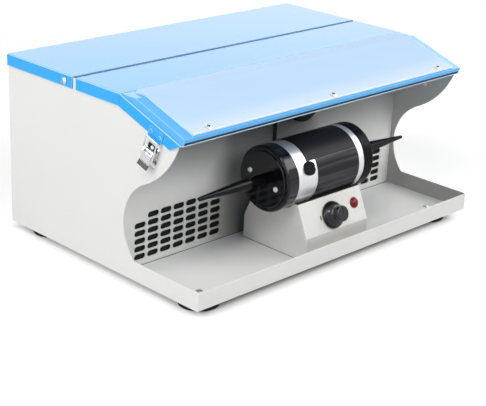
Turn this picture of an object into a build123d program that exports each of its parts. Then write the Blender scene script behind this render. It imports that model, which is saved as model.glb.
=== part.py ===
from build123d import *
import os
from math import asin, atan2, cos, hypot, pi, radians, sin, sqrt, tan

os.makedirs("parts", exist_ok=True)

# A bench-top polishing machine. X runs across the width, Y from the front to the rear and Z up.
# The origin is the middle of the footprint, on the surface that the feet stand on.
# Depths are counted from the cabinet's front face and heights from its underside.

# Cabinet sheets
width = 480.0
depth = 337.0
body_height = 212.0
sheet = 1.2
side_sheet = 1.6
front_lip = 21.2
hem_height = 7.0
side_lip = 22.5
lip_corner_radius = 4.0
lip_fold_radius = 1.0

# S-shaped front edge of the side panels: a hollow throat below a rounded brow
throat_radius = 60.0
throat_depth = 124.5
throat_height = 65.0
brow_radius = 106.0
brow_depth = 37.5
brow_edge = 5.0

# Feet
foot_height = 12.0
foot_radius = 23.5
foot_top_radius = 25.0
foot_inset_x = 35.0
foot_inset_y = 35.5
foot_hole_depth = 6.0
foot_screw_gap = 1.0

# Covers: the fixed rear cover and the hinged lid
cover_sheet = 1.2
cover_gap = 0.4
flange_depth = 14.0
hinge_gap = 6.6
lid_rear = 207.0
lid_bend = 131.0
slope = radians(18.5)
flange_nose = 18.0
side_rail = 24.0
front_rail = 14.0
bend_rail = 20.0
fold_radius = 1.8
cover_screw_front = 13.7
cover_screw_spread = 190.0
cover_screw_drop = 8.0

# Raised visor on the lid's slope
visor_bend = 106.5
visor_front = 28.8
visor_rear = 129.0
visor_inset = 2.5
visor_slit = 2.2
visor_edge_radius = 0.5
window_side = 30.0
window_front = 16.0
window_rear = 10.0
window_radius = 8.0
pane_thickness = 2.0
pane_side = 14.0
pane_front = 4.0
pane_rear = 127.0
pane_corner = 8.0
pane_front_corner = 1.5
pane_screw_inset = 8.0
pane_screw_side = 26.1

# Hinge between the lid and the rear cover
hinge_end_gap = 1.4
knuckle_count = 11
knuckle_radius = 2.2
knuckle_gap = 0.4
hinge_drop = 2.5
hinge_pin_radius = 1.1
leaf_thickness = 1.0
leaf_width = 13.0
running = 0.05

# Toggle latches on the side panels and their keepers on the lid
latch_depth = 77.7
latch_drop = 33.9
latch_width = 22.0
latch_base_low = 15.0
latch_base_high = 9.0
latch_sheet = 1.2
pivot_rise = 2.0
pivot_lift = 4.5
latch_pin_radius = 1.5
ear_radius = 2.6
ear_inner = 4.8
ear_sheet = 1.1
cheek_gap = 0.3
cheek_radius = 2.9
lever_lift = 7.4
lever_low = 11.6
tab_length = 5.2
tab_angle = radians(25.0)
cheek_low = 9.0
loop_pivot_rise = -6.0
loop_lift = 6.3
loop_radius = 0.9
loop_half_width = 9.0
loop_bar_rise = 17.6
loop_corner = 2.0
keeper_low = 15.5
keeper_high = 28.5
keeper_lip_width = 15.0
keeper_clearance = 0.4
keeper_dimple_spread = 7.3
keeper_dimple_rise = 23.2
keeper_dimple_radius = 2.2
keeper_dimple_height = 0.6
dimple_taper = 30.0
rivet_radius = 1.5
rivet_head_radius = 2.6
rivet_head_height = 1.2
rivet_taper = 25.0
rivet_low = -9.0
rivet_high = 6.0

# Partition behind the motor, with a slotted grille on each side
partition_depth = 130.0
partition_headroom = 4.0
slot_length = 16.9
slot_height = 7.2
slot_pitch_x = 19.7
slot_pitch_z = 9.65
slot_columns = 7
slot_rows = 6
grille_edge = 30.0
grille_foot = 12.4
filter_margin = 7.0
filter_thickness = 12.0
soft_gap = 0.3

# Motor pedestal
pedestal_width = 110.0
pedestal_front = 14.0
pedestal_rear = 117.0
riser_height = 30.0
pedestal_height = 68.0
pedestal_lean = 16.5
pedestal_fold_radius = 1.0

# Motor
motor_height = 95.7
motor_offset = -2.3
motor_radius = 40.0
motor_length = 154.4
cap_length = 19.1
cap_edge = 3.0
cap_wall = 5.0
cap_step = 1.6
cap_face_radius = 34.6
cap_face_edge = 1.2
tube_wall = 2.5
label_thickness = 0.5
label_left = 39.7
label_right = 48.0
label_notch = 14.5
label_notch_top = 23.0
label_notch_front = 20.0
saddle_gap = 0.4
shaft_radius = 4.0
shaft_chamfer = 0.5
shaft_hole_gap = 1.0
bearing_radius = 11.0
bearing_width = 7.0
cap_screw_ring_radius = 21.9
cap_screw_angle = 17.0
cap_screw_radius = 3.2
cap_screw_height = 1.6
cap_screw_taper = 20.0
cap_screw_shank = 1.6
cap_screw_length = 9.0
spindle_gap = 1.0
hub_radius = 6.6
hub_length = 24.5
taper_radius = 7.6
tip_radius = 2.1
spindle_reach = 180.4
shaft_in_hub = 24.0

# Motor internals
magnet_thickness = 8.5
magnet_left = 18.0
magnet_right = 42.0
magnet_split = 26.0
armature_radius = 26.5
armature_left = 14.0
armature_right = 36.0
armature_slots = 12
armature_slot_depth = 8.0
armature_slot_width = 3.0
winding_length = 11.0
winding_radius = 22.0
winding_bore = 9.0
winding_edge = 3.0
commutator_radius = 11.0
commutator_length = 13.0
commutator_bars = 12
commutator_slit = 0.6
commutator_slit_depth = 1.2
brush_offset = 39.3
brush_angle = radians(23.0)
brush_size = 8.0
brush_gap = 0.3
brush_length = 16.0
brush_holder_radius = 6.6
brush_cap_radius = 8.6
brush_cap_reach = 2.6
brush_cap_taper = 8.0
brush_slot_width = 1.8
brush_slot_depth = 1.2
fit_gap = 0.02

# Motor cradle inside the pedestal
cradle_length = 40.0
cradle_width = 52.0
cradle_wall = 6.0
cradle_crown = 9.0
cradle_drop = 28.0

# Speed control on the pedestal's sloped panel
knob_offset = -3.8
knob_rise = 17.8
knob_lift = 1.0
knob_skirt_radius = 16.8
knob_skirt_height = 1.2
knob_shoulder_radius = 11.0
knob_shoulder_height = 10.6
knob_neck_radius = 9.0
knob_neck_height = 11.6
knob_grip_radius = 9.6
knob_height = 19.3
knob_edge = 1.5
knob_cavity_radius = 8.0
knob_cavity_height = 7.0
pointer_width = 1.2
pointer_depth = 0.5
pot_radius = 8.5
pot_depth = 9.0
bushing_radius = 3.6
bushing_height = 5.0
pot_shaft_radius = 3.0
pot_shaft_height = 14.0
nut_size = 12.0
nut_height = 2.0
lens_edge = 17.0
lens_rise = 23.2
lens_radius = 6.7
lens_rim = 1.2
lens_height = 4.6
indicator_radius = 4.9
indicator_depth = 13.0
board_length = 80.0
board_thickness = 1.6
board_height = 6.0
board_gap = 2.0
standoff_radius = 3.0
standoff_inset = 4.0
sink_height = 20.0
sink_width = 4.0
sink_length = 40.0
capacitor_radius = 6.0
capacitor_height = 16.0

# Fans on the rear panel
fan_size = 119.0
fan_depth = 38.0
fan_spread = 115.0
fan_height = 95.0
fan_bore = 57.0
fan_hub_radius = 27.0
fan_hub_back = 8.0
strut_width = 7.0
strut_depth = 5.0
rotor_front = 3.0
rotor_gap = 1.5
blade_count = 7
blade_chord = 24.0
blade_thickness = 2.0
blade_tip_gap = 1.6
blade_tilt = 35.0
fan_pin_radius = 2.0
fan_pin_length = 5.0
exhaust_radius = 52.0
exhaust_slot = 4.6
exhaust_pitch = 9.4
exhaust_web = 8.0

# Power inlet and rocker switch on the rear panel
inlet_height = 34.0
inlet_flange_width = 31.0
inlet_flange_height = 25.0
inlet_flange = 3.0
inlet_body_width = 27.0
inlet_body_height = 20.0
inlet_depth = 20.0
inlet_wall = 1.5
inlet_cavity = 16.0
inlet_pin_width = 2.0
inlet_pin_height = 4.0
inlet_pin_length = 13.0
inlet_pin_spread = 7.0
switch_height = 74.0
switch_width = 15.0
switch_tall = 21.0
switch_bezel = 2.0
switch_body_gap = 1.0
switch_depth = 18.0
switch_wall = 1.9
switch_cavity = 9.0
rocker_gap = 0.4
rocker_rise = 4.0
rocker_hollow = 2.2
rocker_depth = 4.5
rocker_tilt = radians(8.0)
trunnion_radius = 1.2
trunnion_length = 0.8

# Lamp under the hood
lamp_offset = 44.5
lamp_drop = 55.0
lamp_radius = 28.0
lamp_depth = 15.0
lamp_bezel = 7.0
lamp_recess = 1.5
lamp_plate = 2.0
lamp_edge = 2.0
lamp_cable_radius = 2.2
lamp_cable_x = 4.0
lamp_cable_low = 26.0
lamp_cable_bend = 8.0
lamp_cable_inside = 5.0
lamp_cable_entry = 4.0
lamp_notch_depth = 6.0

# Screws
screw_radius = 2.0
screw_head_radius = 4.2
screw_head_height = 2.3
screw_rim = 0.8
screw_length = 7.0
screw_hole_gap = 0.1
recess_width = 0.9
recess_depth = 0.9

# How far a cutting tool runs past the sheet that it cuts
spare = 20.0

# Places that follow from the sizes above
rocker_half = switch_tall / 2 - switch_wall - rocker_gap
rear_reach = rocker_half * sin(rocker_tilt) + rocker_rise * cos(rocker_tilt)
front_y = -(depth + rear_reach) / 2
cover_half = width / 2 + cover_gap + cover_sheet
cover_front = lid_rear + hinge_gap
panel_top = body_height - cover_sheet - cover_gap
visor_half = cover_half - visor_inset
pane_screw_spread = visor_half - pane_side - pane_screw_side
visor_raise = (lid_bend - visor_bend) * sin(slope)
lid_front = visor_front + visor_raise * sin(slope)
motor_depth = (pedestal_front + pedestal_rear) / 2
tube_radius = motor_radius - label_thickness
tube_half = motor_length / 2 - cap_length
hinge_length = width - 2 * (side_sheet + hinge_end_gap)
hinge_depth = lid_rear + hinge_gap / 2
hinge_height = body_height - hinge_drop
lever_width = 2 * (ear_inner + ear_sheet + cheek_gap + latch_sheet)
lens_offset = pedestal_width / 2 - lens_edge
lamp_height = body_height - lamp_drop
board_width = pedestal_width / 2 - sheet - cradle_length / 2 - 2 * board_gap


def at(distance):
    """The Y of a point this far behind the front face."""
    return front_y + distance


def up(height):
    """The Z of a point this high above the cabinet's underside."""
    return foot_height + height


def side_plane(x):
    """A plane across the width: its own x runs to the rear and its y runs up."""
    return Plane(origin=(x, 0, 0), x_dir=(0, 1, 0), z_dir=(1, 0, 0))


def wall_plane(y):
    """An upright plane that faces the front: its own x runs to the right and its y runs up."""
    return Plane(origin=(0, y, 0), x_dir=(1, 0, 0), z_dir=(0, -1, 0))


def profile_plane(plane):
    """The plane of a turned profile: its x is the radius and its y runs along the given plane's axis."""
    return Plane(origin=plane.origin, x_dir=plane.x_dir, z_dir=-plane.y_dir)


def slope_height(distance, drop=0.0):
    """Height of the lid's sloped top at a depth, or of a line that lies squarely under it."""
    return body_height - drop / cos(slope) - (lid_bend - distance) * tan(slope)


def bend_point(drop):
    """Where the lid's bend lies for a face this far under its top."""
    return lid_bend + drop * tan(slope / 2), body_height - drop


def placed(points):
    """Depth and height pairs turned into Y and Z."""
    return [(at(distance), up(height)) for distance, height in points]


def edges_through(builder, points):
    """The edges that pass through the given points, one for each point."""
    return [builder.edges().sort_by_distance(point)[0] for point in points]


def write(builder, name):
    """Names a finished piece and writes it to its file."""
    builder.part.label = name
    export_step(builder.part, f"parts/{name}.step")


def dome(radius, rim, height):
    """Draws a round dome's profile, from its rim in to the axis."""
    rise = height - rim
    ball = (radius**2 + rise**2) / (2 * rise)
    half = asin(radius / ball) / 2
    ThreePointArc((radius, rim), (ball * sin(half), height - ball + ball * cos(half)), (0, height))


def pan_screws(planes, length):
    """Pan-head screws with a crossed recess, each with its head seated on one of the planes."""
    with BuildPart() as screws:
        for plane in planes:
            with BuildSketch(profile_plane(plane)):
                with BuildLine():
                    Polyline(
                        (0, screw_head_height),
                        (0, -length),
                        (screw_radius, -length),
                        (screw_radius, 0),
                        (screw_head_radius, 0),
                        (screw_head_radius, screw_rim),
                    )
                    dome(screw_head_radius, screw_rim, screw_head_height)
                make_face()
            revolve(axis=Axis(plane.origin, plane.z_dir))
            with BuildSketch(plane.offset(screw_head_height)):
                Rectangle(screw_head_radius, recess_width)
                Rectangle(recess_width, screw_head_radius)
            extrude(amount=-recess_depth, mode=Mode.SUBTRACT)
    return screws


# Base tray: floor with a front lip that ends in a folded hem
with BuildPart() as base_tray:
    with BuildSketch(Plane.XY.offset(up(0))):
        with Locations((0, at(depth / 2))):
            Rectangle(width - 2 * side_sheet, depth - 2 * sheet)
    extrude(amount=sheet)
    with BuildSketch(Plane.XY.offset(up(0))):
        with Locations((0, at(sheet / 2))):
            Rectangle(width, sheet)
    extrude(amount=front_lip)
    with BuildSketch(Plane.XY.offset(up(front_lip))):
        with Locations((0, at(sheet * 3 / 2))):
            Rectangle(width - 2 * side_sheet, sheet)
    extrude(amount=-hem_height)
    lip_folds = [
        (0, at(0), up(0)),
        (0, at(0), up(front_lip)),
        (0, at(2 * sheet), up(front_lip)),
    ]
    fillet(edges_through(base_tray, lip_folds), lip_fold_radius)
    foot_places = [
        (side * (width / 2 - foot_inset_x), at(distance))
        for side in (-1, 1)
        for distance in (foot_inset_y, depth - foot_inset_y)
    ]
    with BuildSketch(Plane.XY.offset(up(0))):
        with Locations(*foot_places):
            Circle(screw_radius + screw_hole_gap)
    extrude(amount=sheet, mode=Mode.SUBTRACT)
write(base_tray, "base_tray")

# Feet: tapered rubber buttons, each with a blind hole for its screw
with BuildPart() as feet:
    for x, y in foot_places:
        with BuildSketch(Plane.XY):
            with Locations((x, y)):
                Circle(foot_radius)
        with BuildSketch(Plane.XY.offset(foot_height)):
            with Locations((x, y)):
                Circle(foot_top_radius)
        loft()
    with BuildSketch(Plane.XY.offset(foot_height)):
        with Locations(*foot_places):
            Circle(screw_radius + fit_gap)
    extrude(amount=-foot_hole_depth, mode=Mode.SUBTRACT)
write(feet, "feet")

foot_screws = pan_screws(
    [Plane.XY.offset(up(sheet)).move(Location((x, y, 0))) for x, y in foot_places],
    sheet + foot_hole_depth - foot_screw_gap,
)
write(foot_screws, "foot_screws")


# Side panels
def panel_outline():
    """The panel's edge: the throat's and the brow's arcs, tangent to each other, and the straight runs."""
    throat = (throat_depth - throat_radius, throat_height)
    span = hypot(brow_depth - throat[0], brow_height - throat[1])
    toward = ((brow_depth - throat[0]) / span, (brow_height - throat[1]) / span)
    reach = throat_radius + brow_radius
    along = (reach**2 - brow_radius**2 + span**2) / (2 * span)
    aside = sqrt(reach**2 - along**2)
    crest = (
        throat[0] + along * toward[0] + aside * toward[1],
        throat[1] + along * toward[1] - aside * toward[0],
    )
    share = throat_radius / reach
    meeting = (throat[0] + share * (crest[0] - throat[0]), throat[1] + share * (crest[1] - throat[1]))
    start = atan2(meeting[1] - crest[1], meeting[0] - crest[0]) % (2 * pi)
    stop = atan2(brow_height - crest[1], brow_depth - crest[0]) % (2 * pi)
    middle = (
        crest[0] + brow_radius * cos((start + stop) / 2),
        crest[1] + brow_radius * sin((start + stop) / 2),
    )
    lip_end = throat[0] + sqrt(throat_radius**2 - (throat_height - side_lip) ** 2)
    return lip_end, meeting, middle


latch_height = slope_height(latch_depth) - latch_drop
panel_drop = cover_sheet + cover_gap
brow_height = slope_height(brow_depth, panel_drop) - brow_edge
lip_end, meeting, brow_middle = panel_outline()
cover_side_screw = (cover_front + cover_screw_front, body_height - cover_screw_drop)
cover_rear_screws = [(side * cover_screw_spread, up(body_height - cover_screw_drop)) for side in (-1, 1)]


def latch_plane(side, lift=0.0, along=0.0, rise=0.0):
    """A latch's own plane: x along the lid's slope, y squarely up to the lid, z out of the side panel."""
    outward = Vector(side, 0, 0)
    run = Vector(0, side * cos(slope), side * sin(slope))
    climb = Vector(0, -sin(slope), cos(slope))
    centre = Vector(side * width / 2, at(latch_depth), up(latch_height))
    return Plane(origin=centre + outward * lift + run * along + climb * rise, x_dir=run, z_dir=outward)


def latch_section(side, along):
    """A cross plane of a latch: x squarely up to the lid, y out of the side panel."""
    base = latch_plane(side, along=along)
    return Plane(origin=base.origin, x_dir=base.y_dir, z_dir=base.x_dir)


def make_side_panel(side):
    """One side panel, with holes for the cover screws and the latch rivets."""
    with BuildPart() as panel:
        with BuildSketch(side_plane(side * width / 2)) as outline:
            with BuildLine():
                start = placed([(lip_end, side_lip)])[0]
                throat_point = placed([(throat_depth, throat_height)])[0]
                tangent = placed([meeting])[0]
                brow = placed([(brow_depth, brow_height)])[0]
                ThreePointArc(start, throat_point, tangent)
                ThreePointArc(tangent, placed([brow_middle])[0], brow)
                top = [
                    (brow_depth, brow_height),
                    (brow_depth, slope_height(brow_depth, panel_drop)),
                    bend_point(panel_drop),
                    (depth - sheet, panel_top),
                    (depth - sheet, 0),
                    (sheet, 0),
                    (sheet, side_lip),
                    (lip_end, side_lip),
                ]
                Polyline(*placed(top))
            make_face()
            fillet(outline.vertices().sort_by_distance((*start, 0))[0], lip_corner_radius)
        extrude(amount=-side * side_sheet)
        with BuildSketch(side_plane(side * width / 2)):
            with Locations(*placed([cover_side_screw])):
                Circle(screw_radius + screw_hole_gap)
        extrude(amount=-side * side_sheet, mode=Mode.SUBTRACT)
        with BuildSketch(latch_plane(side)):
            with Locations((0, rivet_low), (0, rivet_high)):
                Circle(rivet_radius + fit_gap)
        extrude(amount=-side_sheet, mode=Mode.SUBTRACT)
    return panel


side_panel_left = make_side_panel(-1)
write(side_panel_left, "side_panel_left")
side_panel_right = make_side_panel(1)
write(side_panel_right, "side_panel_right")

# Partition with the two slotted grilles and the way through for the lamp cable
grille_places = []
for side in (-1, 1):
    for column in range(slot_columns):
        end_column = column in (0, slot_columns - 1)
        for row in range(slot_rows - 1 if end_column else slot_rows):
            x = side * (width / 2 - grille_edge - column * slot_pitch_x)
            grille_places.append((x, up(grille_foot + row * slot_pitch_z)))
partition_top = body_height - cover_sheet - partition_headroom
with BuildPart() as partition:
    with BuildSketch(wall_plane(at(partition_depth))):
        with Locations((0, up((sheet + partition_top) / 2))):
            Rectangle(width - 2 * side_sheet, partition_top - sheet)
        with Locations(*grille_places):
            SlotOverall(slot_length, slot_height, mode=Mode.SUBTRACT)
    extrude(amount=-sheet)
write(partition, "partition")

# Filter pads behind the grilles
grille_width = (slot_columns - 1) * slot_pitch_x + slot_length
grille_height = grille_foot + (slot_rows - 1) * slot_pitch_z + slot_height / 2
filter_centre = width / 2 - grille_edge - (slot_columns - 1) * slot_pitch_x / 2
filter_low = sheet + soft_gap
filter_high = grille_height + filter_margin
filter_front = partition_depth + sheet + soft_gap
filter_middle = at(filter_front + filter_thickness / 2)
with BuildPart() as filter_pads:
    with BuildSketch(Plane.XY.offset(up(filter_low))):
        with Locations((-filter_centre, filter_middle), (filter_centre, filter_middle)):
            Rectangle(grille_width + 2 * filter_margin, filter_thickness)
    extrude(amount=filter_high - filter_low)
write(filter_pads, "filter_pads")

# Rear panel with exhaust slots, and cut-outs for the inlet and the switch
exhaust_places = []
for side in (-1, 1):
    rows = int(exhaust_radius // exhaust_pitch)
    for row in range(-rows, rows + 1):
        half_chord = sqrt(exhaust_radius**2 - (row * exhaust_pitch) ** 2)
        length = half_chord - exhaust_web / 2
        for end in (-1, 1):
            x = side * fan_spread + end * (exhaust_web / 2 + length / 2)
            exhaust_places.append((x, up(fan_height + row * exhaust_pitch), length))
with BuildPart() as rear_panel:
    with BuildSketch(wall_plane(at(depth - sheet))):
        with Locations((0, up(panel_top / 2))):
            Rectangle(width, panel_top)
        with Locations(*cover_rear_screws):
            Circle(screw_radius + screw_hole_gap, mode=Mode.SUBTRACT)
        for x, z, length in exhaust_places:
            if length > 2 * exhaust_slot:
                with Locations((x, z)):
                    SlotOverall(length, exhaust_slot, mode=Mode.SUBTRACT)
        with Locations((0, up(inlet_height))):
            Rectangle(inlet_body_width + fit_gap, inlet_body_height + fit_gap, mode=Mode.SUBTRACT)
        with Locations((0, up(switch_height))):
            Rectangle(
                switch_width - 2 * switch_body_gap + fit_gap,
                switch_tall - 2 * switch_body_gap + fit_gap,
                mode=Mode.SUBTRACT,
            )
    extrude(amount=-sheet)
write(rear_panel, "rear_panel")

# Rear cover: a tray turned upside down, open towards the lid
rear_edge = depth + cover_gap + cover_sheet
with BuildPart() as rear_cover:
    with BuildSketch(Plane.XY.offset(up(body_height))):
        with Locations((0, at((cover_front + rear_edge) / 2))):
            Rectangle(2 * cover_half, rear_edge - cover_front)
    extrude(amount=-flange_depth)
    cover_folds = [(0, at(rear_edge), up(body_height))]
    for side in (-1, 1):
        cover_folds.append((side * cover_half, at((cover_front + rear_edge) / 2), up(body_height)))
        cover_folds.append((side * cover_half, at(rear_edge), up(body_height - flange_depth / 2)))
    fillet(edges_through(rear_cover, cover_folds), fold_radius)
    with BuildSketch(Plane.XY.offset(up(body_height - cover_sheet))):
        with Locations((0, at((cover_front - spare + rear_edge - cover_sheet) / 2))):
            Rectangle(2 * (cover_half - cover_sheet), rear_edge - cover_sheet - cover_front + spare)
    extrude(amount=-flange_depth, mode=Mode.SUBTRACT)
    with BuildSketch(side_plane(0)):
        with Locations(*placed([cover_side_screw])):
            Circle(screw_radius + screw_hole_gap)
    extrude(amount=cover_half, both=True, mode=Mode.SUBTRACT)
    with BuildSketch(Plane.XZ.offset(-at(rear_edge))):
        with Locations(*cover_rear_screws):
            Circle(screw_radius + screw_hole_gap)
    extrude(amount=2 * cover_sheet, mode=Mode.SUBTRACT)
write(rear_cover, "rear_cover")

side_screw_y, side_screw_z = placed([cover_side_screw])[0]
side_screw_planes = [
    Plane(origin=(side * cover_half, side_screw_y, side_screw_z), x_dir=(0, 1, 0), z_dir=(side, 0, 0))
    for side in (-1, 1)
]
rear_screw_planes = [
    Plane(origin=(x, at(rear_edge), z), x_dir=(1, 0, 0), z_dir=(0, 1, 0)) for x, z in cover_rear_screws
]
cover_screws = pan_screws(side_screw_planes + rear_screw_planes, screw_length)
write(cover_screws, "cover_screws")


# Lid
def slope_plane(bend, lift=0.0):
    """A plane on a sloped top that starts at a bend: x across, y up the slope, z squarely out of it."""
    normal = Vector(0, -sin(slope), cos(slope))
    return Plane(origin=Vector(0, at(bend), up(body_height)) + normal * lift, x_dir=(1, 0, 0), z_dir=normal)


lid_outline = [
    (lid_rear, body_height),
    (lid_bend, body_height),
    (lid_front, slope_height(lid_front)),
    (lid_front + flange_nose, slope_height(lid_front + flange_nose, flange_depth)),
    bend_point(flange_depth),
    (lid_rear, body_height - flange_depth),
]
lid_hollow = [
    (lid_rear + spare, body_height - cover_sheet),
    bend_point(cover_sheet),
    (lid_front - spare, slope_height(lid_front - spare, cover_sheet)),
    (lid_front - spare, 0),
    (lid_rear + spare, 0),
]
lid_slope_length = (lid_bend - lid_front) / cos(slope)
with BuildPart() as lid:
    with BuildSketch(side_plane(0)):
        with BuildLine():
            Polyline(*placed(lid_outline), close=True)
        make_face()
    extrude(amount=cover_half, both=True)
    lid_folds = [(0, at(lid_bend), up(body_height))]
    for side in (-1, 1):
        lid_folds.append((side * cover_half, at((lid_rear + lid_bend) / 2), up(body_height)))
        middle = (lid_front + lid_bend) / 2
        lid_folds.append((side * cover_half, at(middle), up(slope_height(middle))))
    fillet(edges_through(lid, lid_folds), fold_radius)
    with BuildSketch(side_plane(0)):
        with BuildLine():
            Polyline(*placed(lid_hollow), close=True)
        make_face()
    extrude(amount=cover_half - cover_sheet, both=True, mode=Mode.SUBTRACT)
    with BuildSketch(slope_plane(lid_bend)):
        with Locations((0, -(bend_rail + lid_slope_length - front_rail) / 2)):
            RectangleRounded(
                2 * (cover_half - side_rail), lid_slope_length - front_rail - bend_rail, window_radius
            )
    extrude(amount=2 * cover_sheet, both=True, mode=Mode.SUBTRACT)
write(lid, "lid")

# Visor frame: a shallow box that stands on the lid's slope and carries the pane
square_down = (sin(slope), -cos(slope))
up_slope = (cos(slope), sin(slope))


def stepped(point, down, along):
    """A point moved squarely down from the visor's top and up along its slope."""
    return (
        point[0] + down * square_down[0] + along * up_slope[0],
        point[1] + down * square_down[1] + along * up_slope[1],
    )


visor_nose = (visor_front, body_height - (visor_bend - visor_front) * tan(slope))
visor_length = (visor_bend - visor_front) / cos(slope)
visor_outline = [
    (visor_rear, body_height),
    (visor_bend, body_height),
    visor_nose,
    stepped(visor_nose, visor_raise, 0),
    (visor_rear, slope_height(visor_rear)),
]
visor_hollow = [
    (visor_rear + spare, body_height - sheet),
    (visor_bend + sheet * tan(slope / 2), body_height - sheet),
    stepped(visor_nose, sheet, sheet),
    stepped(visor_nose, visor_raise - visor_slit, sheet),
    stepped(visor_nose, visor_raise - visor_slit, -spare),
    stepped(visor_nose, visor_raise + spare, -spare),
    (visor_rear + spare, visor_nose[1] - visor_raise - spare),
]
with BuildPart() as visor_frame:
    with BuildSketch(side_plane(0)):
        with BuildLine():
            Polyline(*placed(visor_outline), close=True)
        make_face()
    extrude(amount=visor_half, both=True)
    nose_y, nose_z = placed([visor_nose])[0]
    visor_folds = [(0, at(visor_bend), up(body_height)), (0, nose_y, nose_z)]
    for side in (-1, 1):
        visor_folds.append((side * visor_half, at((visor_rear + visor_bend) / 2), up(body_height)))
        visor_folds.append((side * visor_half, (at(visor_bend) + nose_y) / 2, (up(body_height) + nose_z) / 2))
    fillet(edges_through(visor_frame, visor_folds), visor_edge_radius)
    with BuildSketch(side_plane(0)):
        with BuildLine():
            Polyline(*placed(visor_hollow), close=True)
        make_face()
    extrude(amount=visor_half - sheet, both=True, mode=Mode.SUBTRACT)
    with BuildSketch(slope_plane(visor_bend)):
        with Locations((0, -(window_rear + visor_length - window_front) / 2)):
            RectangleRounded(
                2 * (visor_half - window_side), visor_length - window_front - window_rear, window_radius
            )
    extrude(amount=2 * sheet, both=True, mode=Mode.SUBTRACT)
    pane_screw_places = [
        (side * pane_screw_spread, pane_screw_inset - visor_length) for side in (-1, 0, 1)
    ]
    with BuildSketch(slope_plane(visor_bend)):
        with Locations(*pane_screw_places):
            Circle(screw_radius + screw_hole_gap)
    extrude(amount=2 * sheet, both=True, mode=Mode.SUBTRACT)
write(visor_frame, "visor_frame")

# Visor pane: one sheet, bent where the visor bends, with rounded corners
pane_outline = [
    stepped(visor_nose, 0, pane_front),
    (visor_bend, body_height),
    (pane_rear, body_height),
    (pane_rear, body_height + pane_thickness),
    (visor_bend - pane_thickness * tan(slope / 2), body_height + pane_thickness),
    stepped(visor_nose, -pane_thickness, pane_front),
]
with BuildPart() as visor_pane:
    with BuildSketch(side_plane(0)):
        with BuildLine():
            Polyline(*placed(pane_outline), close=True)
        make_face()
    extrude(amount=visor_half - pane_side, both=True)
    fillet(visor_pane.edges().filter_by(Axis.Z), pane_corner)
    across_pane = Axis((0, 0, 0), (0, *(-part for part in square_down)))
    fillet(visor_pane.edges().filter_by(across_pane), pane_front_corner)
    with BuildSketch(slope_plane(visor_bend)):
        with Locations(*pane_screw_places):
            Circle(screw_radius + screw_hole_gap)
    extrude(amount=2 * pane_thickness, both=True, mode=Mode.SUBTRACT)
write(visor_pane, "visor_pane")

visor_top = slope_plane(visor_bend, pane_thickness)
visor_screws = pan_screws(
    [
        Plane(origin=visor_top.from_local_coords((x, y, 0)), x_dir=visor_top.x_dir, z_dir=visor_top.z_dir)
        for x, y in pane_screw_places
    ],
    pane_thickness + sheet + visor_raise / 2,
)
write(visor_screws, "visor_screws")


# Piano hinge under the gap between the lid and the rear cover
def make_hinge_leaf(side, first):
    """One leaf: a strip under its cover, with every other knuckle of the barrel, from the first one on."""
    pitch = hinge_length / knuckle_count
    strip_edge = hinge_depth + side * (knuckle_radius + knuckle_gap)
    strip_far = hinge_depth + side * (hinge_gap / 2 + leaf_width)
    leaf_top = body_height - cover_sheet
    with BuildPart() as leaf:
        with BuildSketch(Plane.XY.offset(up(leaf_top))):
            with Locations((0, at((strip_edge + strip_far) / 2))):
                Rectangle(hinge_length, abs(strip_far - strip_edge))
        extrude(amount=-leaf_thickness)
        for index in range(first, knuckle_count, 2):
            x = -hinge_length / 2 + index * pitch + knuckle_gap / 2
            with BuildSketch(side_plane(x)):
                with Locations((at(hinge_depth), up(hinge_height))):
                    Circle(knuckle_radius)
                with Locations((at((hinge_depth + strip_edge) / 2), up(leaf_top - leaf_thickness / 2))):
                    Rectangle(abs(strip_edge - hinge_depth), leaf_thickness)
            extrude(amount=pitch - knuckle_gap)
        with BuildSketch(side_plane(-hinge_length / 2)):
            with Locations((at(hinge_depth), up(hinge_height))):
                Circle(hinge_pin_radius + running)
        extrude(amount=hinge_length, mode=Mode.SUBTRACT)
    return leaf


hinge_leaf_rear = make_hinge_leaf(1, 0)
write(hinge_leaf_rear, "hinge_leaf_rear")
hinge_leaf_lid = make_hinge_leaf(-1, 1)
write(hinge_leaf_lid, "hinge_leaf_lid")

with BuildPart() as hinge_pin:
    with BuildSketch(side_plane(-hinge_length / 2)):
        with Locations((at(hinge_depth), up(hinge_height))):
            Circle(hinge_pin_radius)
    extrude(amount=hinge_length)
write(hinge_pin, "hinge_pin")

# Toggle latches
keeper_lift = cover_gap + cover_sheet
keeper_reach = loop_lift - loop_radius - keeper_clearance
cheek_inner = ear_inner + ear_sheet + cheek_gap


def make_latch_base(side):
    """The latch's base: a plate on the side panel with two upright ears that hold the pivot pin."""
    with BuildPart() as base:
        with BuildSketch(latch_plane(side)):
            with Locations((0, (latch_base_high - latch_base_low) / 2)):
                RectangleRounded(latch_width, latch_base_high + latch_base_low, loop_corner)
        extrude(amount=latch_sheet)
        for along in (ear_inner, -ear_inner - ear_sheet):
            with BuildSketch(latch_section(side, along)):
                with Locations((pivot_rise, pivot_lift)):
                    Circle(ear_radius)
                with Locations((pivot_rise, pivot_lift / 2)):
                    Rectangle(2 * ear_radius, pivot_lift)
            extrude(amount=ear_sheet)
        with BuildSketch(latch_section(side, 0)):
            with Locations((pivot_rise, pivot_lift)):
                Circle(latch_pin_radius + fit_gap)
        extrude(amount=latch_width, both=True, mode=Mode.SUBTRACT)
        with BuildSketch(latch_plane(side)):
            with Locations((0, rivet_low), (0, rivet_high)):
                Circle(rivet_radius + fit_gap)
        extrude(amount=latch_sheet, mode=Mode.SUBTRACT)
    return base


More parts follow.
